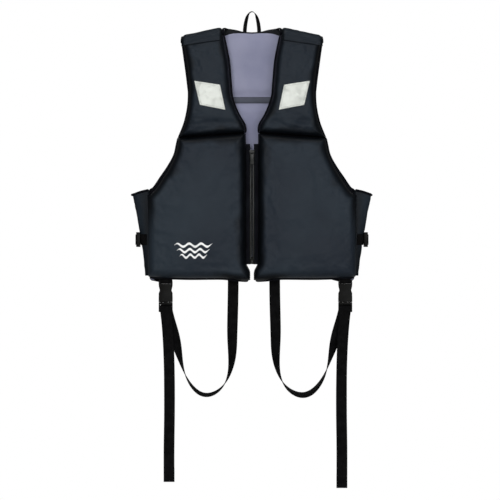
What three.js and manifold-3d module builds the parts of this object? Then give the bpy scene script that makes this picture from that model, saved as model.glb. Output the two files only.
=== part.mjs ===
// A foam buoyancy vest (life jacket) with a front zip, side adjusters and two crotch straps.
// It hangs by the loop at its neck. Millimetres, +Z up, front towards -Y, the wearer's left at +X.
// The origin is the inside of the hang loop's crown, where a hook carries the vest.
import * as THREE from 'three';
import { mergeVertices } from 'three/addons/utils/BufferGeometryUtils.js';
import Module from 'manifold-3d';

const wasm = await Module();
wasm.setup();

// ---------------------------------------------------------------- driving dimensions
const gap = 0.4; // clearance between pieces that lie on each other

// Heights, all measured down from the crown of the loop
const loopRise = 50; // crown of the hang loop above the neck seam
const shoulderRise = 8; // the shoulder's neck end above the neck seam
const shoulderSlope = 20; // fall of the shoulder line from neck to arm
const yokeDrop = 18; // shoulder line down to the top of the shoulder panel
const seamDepth = 236; // neck seam down to the chest seam, at the zip
const seamSlope = 11; // fall of the chest seam from the zip to the armhole
const armpitDepth = 382; // neck seam down to the bottom of the armhole
const bodyLength = 569; // neck seam down to the hem
const backHemRise = 48; // rise of the back's hem in the middle
const backCornerDrop = 7; // fall of the back's hem below the front's at its corners
const backSeamDepth = 157; // neck seam down to the seam across the back

// Half widths
const neckHalf = 69; // neck opening at the shoulder line
const shoulderHalf = 161; // end of the shoulder
const armholeHalf = 144; // narrowest, halfway down the armhole
const seamHalf = 169; // armhole at the chest seam
const chestHalf = 239; // chest and hem
const zipHalf = 14; // zip edge of each chest panel

// Padding
const chestFoam = 38; // thickness of a chest panel
const shoulderFoam = 32; // thickness of a shoulder panel
const backFoam = 33; // thickness of the back
const torsoGap = 26; // between the front and back linings as the vest hangs
const edgeRound = 15; // how far the padded face is set in from the seam
const cloth = 1.2; // shell and lining cloth
const panelGap = 5; // stitched fold between two panels

// Webbing and hardware
const webbing = 25; // width of the crotch and waist webbing
const webbingThick = 1.8;
const loopTape = 9; // width of the hang loop's tape
const loopTapeThick = 1.2;
const loopHalf = 17; // half the spacing of the loop's legs
const bindingThick = 5; // bound edge of the armholes and neck
const buckleX = 207; // crotch buckles from the middle
const strapX = 48; // crotch strap anchors from the middle
const adjusterDepth = 480; // neck seam down to the waist adjusters
const toothPitch = 4;
const pullLength = 26;

// ---------------------------------------------------------------- worked-out places
const neckSeam = -loopRise;
const shoulderTop = neckSeam + shoulderRise;
const foamTop = shoulderTop - yokeDrop;
const foamFall = shoulderSlope - 6; // fall of the shoulder panel's top towards the arm
const chestSeam = neckSeam - seamDepth;
const armpit = neckSeam - armpitDepth;
const hem = neckSeam - bodyLength;
const backSeam = neckSeam - backSeamDepth;
const adjusterZ = neckSeam - adjusterDepth;
const backRear = backFoam / 2; // rear face of the back
const backFront = -backFoam / 2; // where the back's lining lies
const frontRear = backFront - 2 * (gap + cloth) - torsoGap; // rear of the front panels
const seamOuter = chestSeam - seamSlope;

const group = new THREE.Group();

// ---------------------------------------------------------------- materials
const fabric = (color) => new THREE.MeshStandardMaterial({ color, roughness: 0.78, metalness: 0 });
const looks = {
  shell: fabric(0x262b36),
  lining: fabric(0x7d7f97),
  binding: fabric(0x08090c),
  foam: fabric(0xd8d8d2),
  webbing: fabric(0x0b0b0c),
  reflective: new THREE.MeshStandardMaterial({ color: 0xd7dad3, roughness: 0.4, metalness: 0.2 }),
  plastic: new THREE.MeshStandardMaterial({ color: 0x121212, roughness: 0.45, metalness: 0 }),
  teeth: new THREE.MeshStandardMaterial({ color: 0x161815, roughness: 0.35, metalness: 0 }),
};

// ---------------------------------------------------------------- shape helpers
// A closed three.js geometry as a manifold solid.
function solidOf(geometry) {
  const bare = new THREE.BufferGeometry();
  bare.setAttribute('position', geometry.getAttribute('position'));
  if (geometry.index) bare.setIndex(geometry.index);
  const merged = mergeVertices(bare, 1e-4);
  return new wasm.Manifold(new wasm.Mesh({
    numProp: 3,
    vertProperties: merged.attributes.position.array,
    triVerts: new Uint32Array(merged.index.array),
  }));
}

function geometryOf(solid) {
  const mesh = solid.getMesh();
  const geometry = new THREE.BufferGeometry();
  geometry.setAttribute('position', new THREE.BufferAttribute(new Float32Array(mesh.vertProperties), 3));
  geometry.setIndex(new THREE.BufferAttribute(new Uint32Array(mesh.triVerts), 1));
  geometry.computeVertexNormals();
  return geometry;
}

const cut = (body, ...tools) => geometryOf(tools.reduce((s, t) => s.subtract(solidOf(t)), solidOf(body)));
const join = (body, ...more) => geometryOf(more.reduce((s, t) => s.add(solidOf(t)), solidOf(body)));

function box(x0, x1, y0, y1, z0, z1) {
  return new THREE.BoxGeometry(x1 - x0, y1 - y0, z1 - z0)
    .translate((x0 + x1) / 2, (y0 + y1) / 2, (z0 + z1) / 2);
}

// A cylinder along X.
function rod(x0, x1, y, z, radius, sides = 16) {
  return new THREE.CylinderGeometry(radius, radius, x1 - x0, sides)
    .rotateZ(Math.PI / 2).translate((x0 + x1) / 2, y, z);
}

// An anticlockwise outline from points in X and Z, without repeats or points along a straight edge.
function outlineOf(points) {
  const apart = points.filter((p, i) => p.distanceTo(points.at(i - 1)) > 0.05);
  const corners = apart.filter((p, i) => {
    const before = p.clone().sub(apart.at(i - 1)).normalize();
    const after = apart[(i + 1) % apart.length].clone().sub(p).normalize();
    return Math.abs(before.cross(after)) > 1e-4;
  });
  return THREE.ShapeUtils.isClockWise(corners) ? corners.reverse() : corners;
}

// A whole outline from its left half, which starts and ends on the middle line.
function mirrorOutline(half) {
  return outlineOf([...half, ...half.slice(1, -1).reverse().map((p) => new THREE.Vector2(-p.x, p.y))]);
}

const at = (x, z) => new THREE.Vector2(x, z);
// A smooth edge through points. The steps next to its ends are left out, so the panel's corners stay sharp.
const curveThrough = (points, steps) => new THREE.SplineCurve(points).getPoints(steps)
  .filter((p, i, all) => i !== 1 && i !== all.length - 2);

// An anticlockwise outline moved inwards by `inset`, each corner along its own bisector.
function insetOutline(points, inset) {
  return points.map((p, i) => {
    const before = p.clone().sub(points.at(i - 1)).normalize();
    const after = points[(i + 1) % points.length].clone().sub(p).normalize();
    const normal = new THREE.Vector2(-before.y - after.y, before.x + after.x).normalize();
    const stretch = Math.max(0.4, normal.dot(new THREE.Vector2(-before.y, before.x)));
    return p.clone().addScaledVector(normal, inset / stretch);
  });
}

// A padded solid from an X-Z outline. Each station is [inset, y], from the rear to the front.
function slab(outline, stations) {
  const rings = stations.map(([inset, y]) => insetOutline(outline, inset).map((p) => [p.x, y, p.y]));
  const count = outline.length;
  const positions = rings.flat(2);
  const index = [];
  for (let ring = 0; ring < rings.length - 1; ring++) {
    for (let i = 0; i < count; i++) {
      const next = (i + 1) % count;
      const [a, b] = [ring * count + i, ring * count + next];
      index.push(a, b, b + count, a, b + count, a + count);
    }
  }
  const last = (rings.length - 1) * count;
  for (const [a, b, c] of THREE.ShapeUtils.triangulateShape(outline.map((p) => p.clone()), [])) {
    index.push(c, b, a);
    index.push(last + a, last + b, last + c);
  }
  const geometry = new THREE.BufferGeometry();
  geometry.setAttribute('position', new THREE.Float32BufferAttribute(positions, 3));
  geometry.setIndex(index);
  geometry.computeVertexNormals();
  return geometry;
}

// Stations of a panel that rises from its seam at `seamY` by `thick`, with a quarter-ellipse edge.
// `side` is -1 for a panel that swells to the front and 1 for one that swells to the rear.
function swell(seamY, thick, side, inset = 0, steps = 3) {
  const stations = [];
  for (let k = 0; k <= steps; k++) {
    const angle = (k / steps) * (Math.PI / 2);
    stations.push([inset + edgeRound * (1 - Math.cos(angle)), seamY + side * thick * Math.sin(angle)]);
  }
  return side < 0 ? stations : stations.reverse();
}

// A lining sheet that closes the open side of a padded panel.
function liningSheet(outline, seamY, side) {
  const rear = seamY - side * gap;
  const sheet = [[cloth, rear - side * cloth], [cloth, rear]];
  return slab(outline, side < 0 ? sheet : sheet.toReversed());
}

// The pieces of one padded panel: the shell cloth as an open tray, its foam and its lining sheet.
function paddedPanel(outline, seamY, thick, side) {
  const inner = swell(seamY, thick - cloth, side, cloth);
  const open = [cloth, seamY - side * 2];
  const hollow = side < 0 ? [open, ...inner] : [...inner, open];
  const shell = cut(slab(outline, swell(seamY, thick, side)), slab(outline, hollow));
  const clear = cloth + 2.5 * gap;
  const foam = slab(outline, swell(seamY, thick - clear, side, clear));
  return { shell, foam, lining: liningSheet(outline, seamY, side) };
}

// A route for flat webbing. `lean` turns the webbing's width, in degrees at each point:
// 0 lies across the route and square to `depth`, and 90 lies along `depth`.
class WebbingRoute extends THREE.CatmullRomCurve3 {
  constructor(points, lean, depth = new THREE.Vector3(0, 1, 0)) {
    super(points.map((p) => new THREE.Vector3(...p)), false, 'centripetal');
    this.leanCurve = new THREE.SplineCurve(lean.map((a, i) => new THREE.Vector2(i, a)));
    this.depth = depth;
  }

  computeFrenetFrames(segments) {
    const frames = { tangents: [], normals: [], binormals: [] };
    for (let i = 0; i <= segments; i++) {
      const t = this.getUtoTmapping(i / segments);
      const tangent = this.getTangent(t);
      const deep = this.depth.clone().addScaledVector(tangent, -this.depth.dot(tangent)).normalize();
      const across = new THREE.Vector3().crossVectors(deep, tangent).normalize();
      const angle = THREE.MathUtils.degToRad(this.leanCurve.getPoint(t).y);
      const normal = across.multiplyScalar(Math.cos(angle)).addScaledVector(deep, Math.sin(angle));
      frames.tangents.push(tangent);
      frames.normals.push(normal);
      frames.binormals.push(new THREE.Vector3().crossVectors(tangent, normal));
    }
    return frames;
  }
}

// Flat webbing of a rectangular section along a route.
function strap(route, width, thick, steps) {
  const half = width / 2;
  const section = new THREE.Shape()
    .moveTo(-half, -thick / 2).lineTo(half, -thick / 2).lineTo(half, thick / 2).lineTo(-half, thick / 2);
  return new THREE.ExtrudeGeometry(section, { steps, extrudePath: route, bevelEnabled: false });
}

// A round cord or bound edge along a smooth line of points.
function piping(points, diameter, steps) {
  const section = new THREE.Shape().absarc(0, 0, diameter / 2, 0, 2 * Math.PI);
  const route = new THREE.CatmullRomCurve3(points.map((p) => new THREE.Vector3(...p)), false, 'centripetal');
  return new THREE.ExtrudeGeometry(section, { steps, curveSegments: 3, extrudePath: route, bevelEnabled: false });
}

function add(name, geometry, look, mirrored = false) {
  const mesh = new THREE.Mesh(geometry, looks[look]);
  mesh.name = name;
  if (mirrored) mesh.scale.x = -1;
  group.add(mesh);
  return mesh;
}

// The wearer's left piece, and its mirror image on the right.
function addPair(name, geometry, look) {
  add(`${name}_left`, geometry, look);
  add(`${name}_right`, geometry, look, true);
}

// ---------------------------------------------------------------- outlines of the left half, in X and Z
const zipBottom = hem + 35;
const chamfer = 14; // cut corner of the hem

// The lower armhole, as shares of the way across and down from the chest seam to the armpit.
const lowerArmhole = [[0, 0], [0.1, 0.27], [0.28, 0.485], [0.52, 0.69], [0.75, 0.87], [1, 1]]
  .map(([across, down]) => at(
    THREE.MathUtils.lerp(seamHalf, chestHalf, across), THREE.MathUtils.lerp(seamOuter, armpit, down),
  ));

// The upper armhole, from the top of the shoulder foam down to the chest seam.
const upperArmhole = curveThrough([[shoulderHalf - 2, 0], [armholeHalf + 3, 0.33], [armholeHalf, 0.6],
  [armholeHalf + 8, 0.82], [seamHalf - 1, 1]]
  .map(([x, down]) => at(x, THREE.MathUtils.lerp(foamTop - foamFall, seamOuter + panelGap / 2, down))), 9);

// The neckline, from the chest seam up to the top of the shoulder foam.
const neckline = curveThrough([[0, 0], [0.07, 0.09], [0.37, 0.21], [0.62, 0.365], [0.69, 0.52], [0.79, 0.76], [1, 1]]
  .map(([across, up]) => at(
    THREE.MathUtils.lerp(zipHalf + 1, neckHalf - 3, across),
    THREE.MathUtils.lerp(chestSeam + panelGap / 2, foamTop, up),
  )), 11);

function chestOutline() {
  return outlineOf([
    at(zipHalf, chestSeam - panelGap / 2), at(zipHalf, zipBottom),
    at(zipHalf - 9, zipBottom - 14), at(zipHalf - 9, hem - 5), at(zipHalf + 50, hem),
    at(chestHalf - chamfer, hem), at(chestHalf, hem + chamfer),
    ...lowerArmhole.slice(1).reverse(), at(seamHalf, seamOuter - panelGap / 2),
  ]);
}

function shoulderOutline() {
  return outlineOf([...neckline, ...upperArmhole]);
}

// The back's edge above its seam, with a collar standing between the shoulders, and its edge below the seam.
const collar = neckSeam - 5;
const upperBackEdge = [
  at(0, collar - 4), at(neckHalf * 0.5, collar - 3), at(neckHalf - 2, collar),
  at(neckHalf - 2, foamTop), at(shoulderHalf - 2, foamTop - foamFall),
  at(armholeHalf + 3, THREE.MathUtils.lerp(foamTop, backSeam, 0.7)),
];
const lowerBackEdge = [
  at(armholeHalf + 8, THREE.MathUtils.lerp(backSeam, seamOuter, 0.6)),
  ...lowerArmhole, at(chestHalf, hem + chamfer), at(chestHalf - chamfer, hem - backCornerDrop),
  at(chestHalf * 0.62, hem + backHemRise * 0.25), at(chestHalf * 0.28, hem + backHemRise * 0.85),
  at(0, hem + backHemRise),
];

function backUpperOutline() {
  const seam = backSeam + panelGap / 2;
  return mirrorOutline([...upperBackEdge, at(armholeHalf, seam), at(0, seam)]);
}

function backLowerOutline() {
  const seam = backSeam - panelGap / 2;
  return mirrorOutline([at(0, seam), at(armholeHalf, seam), ...lowerBackEdge]);
}

function backLiningOutline() {
  return mirrorOutline([...upperBackEdge, at(armholeHalf, backSeam), ...lowerBackEdge]);
}

// ---------------------------------------------------------------- padded panels
function addBack() {
  const upper = paddedPanel(backUpperOutline(), backFront, backFoam, 1);
  const lower = paddedPanel(backLowerOutline(), backFront, backFoam, 1);
  add('back_cover_upper', upper.shell, 'shell');
  add('back_foam_upper', upper.foam, 'foam');
  add('back_cover_lower', lower.shell, 'shell');
  add('back_foam_lower', lower.foam, 'foam');
  add('back_lining', liningSheet(backLiningOutline(), backFront, 1), 'lining');
}

function addFront() {
  const shoulder = paddedPanel(shoulderOutline(), frontRear, shoulderFoam, -1);
  addPair('shoulder_cover', shoulder.shell, 'shell');
  addPair('shoulder_foam', shoulder.foam, 'foam');
  addPair('shoulder_lining', shoulder.lining, 'lining');
  const chest = paddedPanel(chestOutline(), frontRear, chestFoam, -1);
  addPair('chest_cover', chest.shell, 'shell');
  addPair('chest_foam', chest.foam, 'foam');
  const zipRelief = box(0, zipHalf + 12, frontRear - 1, frontRear + 9, zipBottom - 20, chestSeam);
  addPair('chest_lining', cut(chest.lining, zipRelief), 'lining');
}

// The cloth over each shoulder, which joins the shoulder panel to the back. Its section is an arch in Y and Z.
function addYokes() {
  const steps = 10;
  const thick = 5;
  const rearFoot = 0;
  const frontFoot = frontRear - shoulderFoam / 2;
  const section = (x, crest, foot) => {
    const middle = (rearFoot + frontFoot) / 2;
    const reach = (rearFoot - frontFoot) / 2 + thick / 2;
    const ring = [];
    for (const [a, b] of [[reach, crest - foot], [reach - thick, crest - foot - thick]]) {
      const arc = [];
      for (let k = 0; k <= steps; k++) {
        const angle = (k / steps) * Math.PI;
        arc.push([x, middle + a * Math.cos(angle), foot + b * Math.sin(angle)]);
      }
      ring.push(...(ring.length ? arc.reverse() : arc));
    }
    return ring;
  };
  const neckEnd = section(neckHalf + 1, shoulderTop, foamTop + panelGap / 2);
  const armEnd = section(shoulderHalf, shoulderTop - shoulderSlope, foamTop - foamFall + panelGap / 2);
  addPair('shoulder_yoke', loft([neckEnd, armEnd]), 'shell');
}

// A closed solid through rings of the same count, with flat ends. Each ring is a folded strip: an outer arc and an
// inner arc back.
function loft(rings) {
  const count = rings[0].length;
  const index = [];
  for (let ring = 0; ring < rings.length - 1; ring++) {
    for (let i = 0; i < count; i++) {
      const next = (i + 1) % count;
      const [a, b] = [ring * count + i, ring * count + next];
      index.push(a, b, b + count, a, b + count, a + count);
    }
  }
  // At both ends the outer arc is joined across to the inner one.
  const last = (rings.length - 1) * count;
  for (let i = 0; i < count / 2 - 1; i++) {
    const [a, b, c, d] = [i, i + 1, count - 2 - i, count - 1 - i];
    index.push(a, c, b, a, d, c);
    index.push(last + a, last + b, last + c, last + a, last + c, last + d);
  }
  const geometry = new THREE.BufferGeometry();
  geometry.setAttribute('position', new THREE.Float32BufferAttribute(rings.flat(2), 3));
  geometry.setIndex(index);
  geometry.computeVertexNormals();
  return geometry;
}

// ---------------------------------------------------------------- sides
const gussetFront = frontRear + 1; // its front edge, just behind the chest panel's seam
const gussetRear = backFront - cloth - 2 * gap; // its rear edge, on the back's lining
const gussetX = chestHalf + 2;
const gussetTopBulge = 32;
const gussetBottomBulge = 5;
const gussetThick = 2.4;

// How far the side cloth stands out at a height between its bottom (0) and its top (1).
const bulgeAt = (share) => gussetBottomBulge + (gussetTopBulge - gussetBottomBulge) * share ** 1.3;
const gussetBottom = hem + 6;
const gussetTop = armpit - 2;

function addGussets() {
  const across = 8;
  const rings = [0, 0.25, 0.5, 0.75, 1].map((share) => {
    const z = gussetBottom + (gussetTop - gussetBottom) * share;
    const ring = [];
    for (const thin of [0, gussetThick]) {
      const arc = [];
      for (let k = 0; k <= across; k++) {
        const angle = (k / across) * Math.PI;
        const half = (gussetRear - gussetFront) / 2 - thin;
        arc.push([
          gussetX + Math.max(0.2, bulgeAt(share) - thin) * Math.sin(angle),
          (gussetRear + gussetFront) / 2 - half * Math.cos(angle),
          z,
        ]);
      }
      ring.push(...(thin ? arc.reverse() : arc));
    }
    return ring;
  });
  addPair('side_gusset', loft(rings), 'shell');
}

// ---------------------------------------------------------------- bound edges
function addBindings() {
  const radius = bindingThick / 2;
  const neckTop = collar + radius + gap + 2.5;
  const neck = [-1, -0.62, 0, 0.62, 1].map((share) => [
    share * (neckHalf - 4), 0, neckTop - 4 * (1 - share * share),
  ]);
  add('neck_binding', piping(neck, bindingThick, 12), 'binding');
  const out = radius + gap;
  const upper = upperArmhole.map((p, i) => [
    p.x + out, frontRear - radius, p.y - (i === 0 ? 3 : 0) + (i === upperArmhole.length - 1 ? 1 : 0),
  ]);
  addPair('armhole_binding', piping(upper, bindingThick, 14), 'binding');
  const lapel = neckline.map((p, i) => [p.x - out - 0.6, frontRear - radius, p.y + (i === 0 ? 3 : 0)]);
  addPair('lapel_binding', piping(lapel, bindingThick, 12), 'binding');
}

// ---------------------------------------------------------------- hang loop and reflective patches
const loopThickHalf = loopTapeThick / 2;

function addHangLoop() {
  const foot = neckSeam;
  const side = [
    [loopHalf, 0, foot], [loopHalf - 1.5, 0, foot * 0.6],
    [loopHalf - 5, 0, foot * 0.28], [loopHalf - 10, 0, foot * 0.07],
  ];
  const points = [...side, [0, 0, loopThickHalf], ...side.toReversed().map(([x, y, z]) => [-x, y, z])];
  const lean = [0, 12, 40, 78, 90, 102, 140, 168, 180];
  add('hang_loop', strap(new WebbingRoute(points, lean), loopTape, loopTapeThick, 28), 'webbing');
}

function addPatches() {
  const height = 55;
  const top = shoulderTop - 126;
  const lean = 13; // each side edge leans in towards the middle at its foot
  const fall = 9; // the top and bottom edges fall towards the middle
  const outer = armholeHalf - 12;
  const width = 59;
  const front = frontRear - shoulderFoam - gap;
  const shape = new THREE.Shape().moveTo(outer, top).lineTo(outer - width, top - fall)
    .lineTo(outer - width - lean + 1, top - fall - height - 2).lineTo(outer - lean, top - height);
  const patch = new THREE.ExtrudeGeometry(shape, { depth: 0.6, bevelEnabled: false });
  patch.rotateX(Math.PI / 2).translate(0, front, 0);
  addPair('reflective_patch', patch, 'reflective');
}

// ---------------------------------------------------------------- front zip
const zipTop = chestSeam - 24;
const sliderTop = zipTop - 14; // the slider rests above the topmost tooth
const sliderLength = 22;
const toothTop = sliderTop - sliderLength - 4;
const beadFront = frontRear - 0.4;
const beadRear = frontRear + 2.4;

// One half's teeth: a bead along the tape with a row of teeth that reach past the middle line.
function comb(topTooth) {
  const bead = [2.2, 5];
  const tip = -1.6;
  const toothHeight = 1.5;
  const count = Math.floor((topTooth - zipBottom - 6) / toothPitch);
  const shape = new THREE.Shape().moveTo(bead[1], topTooth).lineTo(bead[0], topTooth);
  for (let i = 0; i < count; i++) {
    const z = topTooth - 1 - i * toothPitch;
    shape.lineTo(bead[0], z).lineTo(tip, z).lineTo(tip, z - toothHeight).lineTo(bead[0], z - toothHeight);
  }
  const bottom = topTooth - 1 - count * toothPitch;
  shape.lineTo(bead[0], bottom).lineTo(bead[1], bottom);
  return new THREE.ExtrudeGeometry(shape, { depth: beadRear - beadFront, bevelEnabled: false })
    .rotateX(Math.PI / 2).translate(0, beadRear, 0);
}

function addZip() {
  const tape = (top) => box(5 + gap, zipHalf + 11, frontRear + gap, frontRear + gap + cloth, zipBottom - 14, top);
  add('zip_tape_right', tape(zipTop), 'binding', true);
  add('zip_tape_left', tape(toothTop), 'binding');
  add('zip_teeth_right', comb(toothTop - toothPitch / 2), 'teeth', true);
  add('zip_teeth_left', comb(toothTop), 'teeth');
  add('zip_box', box(-5, -0.3, beadFront, beadRear, zipBottom - 13, zipBottom - 2), 'teeth');
  add('zip_pin', box(0.3, 4.6, beadFront, beadRear, zipBottom - 13, zipBottom - 2), 'teeth');
}

const pullY = beadFront - gap - 1.8 - 3.4; // axis of the pull, in front of the slider
const pullZ = sliderTop - 7;

function addSlider() {
  const plateRear = beadFront - gap;
  const plateFront = plateRear - 1.8;
  const plate = new THREE.ExtrudeGeometry(
    new THREE.Shape().moveTo(-6, sliderTop).lineTo(-4.6, sliderTop - sliderLength)
      .lineTo(4.6, sliderTop - sliderLength).lineTo(6, sliderTop),
    { depth: plateRear - plateFront, bevelEnabled: false },
  ).rotateX(Math.PI / 2).translate(0, plateRear, 0);
  const cheek = (x) => box(x - 0.7, x + 0.7, pullY - 1.8, plateFront + 0.5, pullZ - 2.4, pullZ + 2.4);
  add('zip_slider', join(plate, cheek(4), cheek(-4), rod(-3.6, 3.6, pullY, pullZ, 1)), 'teeth');
  add('zip_slider_rear', box(-5, 5, beadRear + gap, beadRear + gap + 1.6, sliderTop - sliderLength, sliderTop), 'teeth');
  const eye = rod(-2.8, 2.8, pullY, pullZ, 2.7);
  const blade = box(-4, 4, pullY - 0.9, pullY + 0.9, pullZ - pullLength, pullZ - 3.4);
  const neck = box(-2.4, 2.4, pullY - 0.9, pullY + 0.9, pullZ - 4, pullZ - 1.8);
  add('zip_pull', cut(join(eye, neck, blade), rod(-4, 4, pullY, pullZ, 1.4)), 'plastic');
}

// ---------------------------------------------------------------- crotch straps and their buckles
const buckleTop = hem - 3;
const buckleY = (frontRear + backFront) / 2 - 5;
const buckleHalf = 16;
const slotHalf = webbing / 2 + 1;
const strapSkew = 4.5; // both straps hang a little to the wearer's left
const buckleSkew = 8;
const loopDrop = 274; // lowest point of each strap below the hem
const tailDrop = 476; // end of each strap's tail below the hem
const sideways = new THREE.Vector3(1, 0, 0);

// The socket, with a bar for its tab and its sides open for the latches.
function socketShape() {
  const z = buckleTop;
  return cut(
    box(-buckleHalf, buckleHalf, -5.6, 5.6, z - 52, z),
    box(-13.2, 13.2, -3.3, 3.3, z - 53, z - 12),
    box(-17, -9, -3.3, 3.3, z - 53, z - 18),
    box(9, 17, -3.3, 3.3, z - 53, z - 18),
    box(-slotHalf, slotHalf, -6, 6, z - 9.6, z - 4.2),
    box(-slotHalf, slotHalf, -6, -1.6, z - 5, z + 1),
    box(-slotHalf, slotHalf, 1.6, 6, z - 5, z + 1),
  );
}

// The plug's ladder and tongue. Its two arms are pieces of their own.
function plugShape() {
  const z = buckleTop;
  return cut(
    join(box(-buckleHalf, buckleHalf, -3.5, 3.5, z - 75, z - 54), box(-3.5, 3.5, -2.6, 2.6, z - 55, z - 28)),
    box(-slotHalf, slotHalf, -4, 4, z - 63.5, z - 58),
    box(-slotHalf, slotHalf, -4, 4, z - 71.5, z - 67),
  );
}

// One arm of the plug, with the latch that shows in the socket's side. `way` is 1 towards +X or -1.
function armShape(way) {
  const corners = [[7.4, 53.5], [11.4, 53.5], [13, 40], [16, 35], [16, 32], [12.4, 22], [9.6, 22], [9.2, 36]]
    .map(([x, down]) => at(way * x, buckleTop - down));
  return new THREE.ExtrudeGeometry(new THREE.Shape(corners), { depth: 5.2, bevelEnabled: false })
    .rotateX(Math.PI / 2).translate(0, 2.6, 0);
}

function addCrotchStrap(side, word) {
  const anchor = side * strapX + strapSkew;
  const centre = side * buckleX + buckleSkew;
  const z = buckleTop;
  const place = (name, geometry, look) => add(`${name}_${word}`, geometry.translate(centre, buckleY, 0), look);
  const tab = [[-3.4, 20], [-3.4, -2], [-2.7, -5.6], [0, -7.3], [2.7, -5.6], [3.4, -2], [3.4, 20]]
    .map(([y, up]) => [0, y, z + up]);
  place('socket_tab', strap(new WebbingRoute(tab, [90, 90], sideways), webbing, webbingThick, 22), 'webbing');
  place('buckle_socket', socketShape(), 'plastic');
  place('buckle_plug', plugShape(), 'plastic');
  place('plug_arm_outer', armShape(side), 'plastic');
  place('plug_arm_inner', armShape(-side), 'plastic');

  // The strap hangs from the back's hem, turns edge-on round a low loop and rises behind the plug.
  // Each row: share of the way to the buckle, share of the drop below the hem, y, lean in degrees.
  const strapSet = buckleY + 36.1;
  const rows = [
    [0, -0.21, -20.5, 0], [0, 0.067, -20.8, 2], [0.006, 0.274, -21.6, 6], [0.015, 0.482, -22.4, 18],
    [0.012, 0.648, -23.4, 42], [0.05, 0.803, -24.6, 74], [0.15, 0.922, -25.4, 98], [0.3, 0.984, -26, 114],
    [0.44, 1, -26.4, 118], [0.58, 0.943, -26.8, 112], [0.7, 0.839, -27, 98], [0.765, 0.73, -27, 80],
    [0.82, 0.606, -27.2, 48], [0.88, 0.471, -28, 12], [0.955, 0.337, -29.4, 2], [1, 0.228, -30.6, 0],
  ];
  const points = rows.map(([across, down, y]) => [
    THREE.MathUtils.lerp(anchor, centre, across), y + strapSet, hem - loopDrop * down,
  ]);
  const lean = rows.map((row) => row[3]);
  add(`crotch_strap_${word}`, strap(new WebbingRoute(points, lean), webbing, webbingThick, 76), 'webbing');

  // The tail folds forwards over the plug's bar and hangs in front.
  const tailY = -3.5 - gap - webbingThick / 2;
  const tail = [
    [0, 1.4, z - 60.2], [0, -2.6, z - 60], [0, tailY - 0.1, z - 63.6], [0, tailY, z - 72],
    [-side * 4, tailY, z - 110], [-side * 7, tailY, z - 160],
    [-side * 8, tailY, z - 260], [-side * 8, tailY, hem - tailDrop],
  ];
  const hang = strap(new WebbingRoute(tail, [90, 90], sideways), webbing, webbingThick, 60);
  place('strap_tail', hang, 'webbing');
}

// ---------------------------------------------------------------- waist webbing and adjusters
function addAdjusters() {
  const share = (adjusterZ - gussetBottom) / (gussetTop - gussetBottom);
  const bulge = bulgeAt(share + webbing / 2 / (gussetTop - gussetBottom));
  const middle = (gussetRear + gussetFront) / 2;
  const half = (gussetRear - gussetFront) / 2;
  const out = gap + 1 + webbingThick / 2;
  const around = [];
  for (let k = 0; k <= 8; k++) {
    const angle = THREE.MathUtils.degToRad(24 + (k / 8) * 132);
    around.push([
      gussetX + (bulge + out) * Math.sin(angle), middle - (half + out) * Math.cos(angle), adjusterZ,
    ]);
  }
  const upward = new THREE.Vector3(0, 0, 1);
  const belt = strap(new WebbingRoute(around, [90, 90], upward), webbing, webbingThick, 24);
  addPair('waist_webbing', belt, 'webbing');
  const x = gussetX + bulge + out + webbingThick / 2 + gap;
  const ladder = cut(
    box(x, x + 5, middle - 14, middle + 12, adjusterZ - 17, adjusterZ + 17),
    box(x - 1, x + 6, middle - 9, middle - 5, adjusterZ - 13.5, adjusterZ + 13.5),
    box(x - 1, x + 6, middle + 3, middle + 7, adjusterZ - 13.5, adjusterZ + 13.5),
  );
  addPair('waist_adjuster', ladder, 'plastic');
}

addBack();
addFront();
addYokes();
addGussets();
addBindings();
addHangLoop();
addPatches();
addZip();
addSlider();
addCrotchStrap(1, 'left');
addCrotchStrap(-1, 'right');
addAdjusters();

export default group;
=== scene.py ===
# A foam life jacket that hangs by its neck loop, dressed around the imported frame.
# Metres, with +Z up and the front towards -Y.
import bmesh
import bpy
import numpy as np
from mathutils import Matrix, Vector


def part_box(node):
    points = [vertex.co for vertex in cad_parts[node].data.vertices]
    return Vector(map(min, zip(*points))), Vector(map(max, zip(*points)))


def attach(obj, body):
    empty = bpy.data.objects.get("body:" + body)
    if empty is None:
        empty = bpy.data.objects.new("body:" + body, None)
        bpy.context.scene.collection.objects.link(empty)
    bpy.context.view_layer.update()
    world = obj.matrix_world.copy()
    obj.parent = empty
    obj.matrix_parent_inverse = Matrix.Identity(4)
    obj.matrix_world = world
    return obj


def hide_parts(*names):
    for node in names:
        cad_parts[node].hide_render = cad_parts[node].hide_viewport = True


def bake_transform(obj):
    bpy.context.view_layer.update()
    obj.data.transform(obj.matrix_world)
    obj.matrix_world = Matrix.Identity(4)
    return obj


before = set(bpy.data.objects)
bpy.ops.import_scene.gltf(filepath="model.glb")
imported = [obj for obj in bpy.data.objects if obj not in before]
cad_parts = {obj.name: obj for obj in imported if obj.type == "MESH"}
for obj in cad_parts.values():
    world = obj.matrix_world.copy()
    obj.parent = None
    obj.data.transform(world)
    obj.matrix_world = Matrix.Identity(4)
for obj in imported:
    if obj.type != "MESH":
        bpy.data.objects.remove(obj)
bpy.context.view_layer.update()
sides = ((1, "left"), (-1, "right"))
mm = 0.001


def low(node):
    return np.array(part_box(node)[0])


def high(node):
    return np.array(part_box(node)[1])


def middle(node):
    return (low(node) + high(node)) / 2


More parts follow.
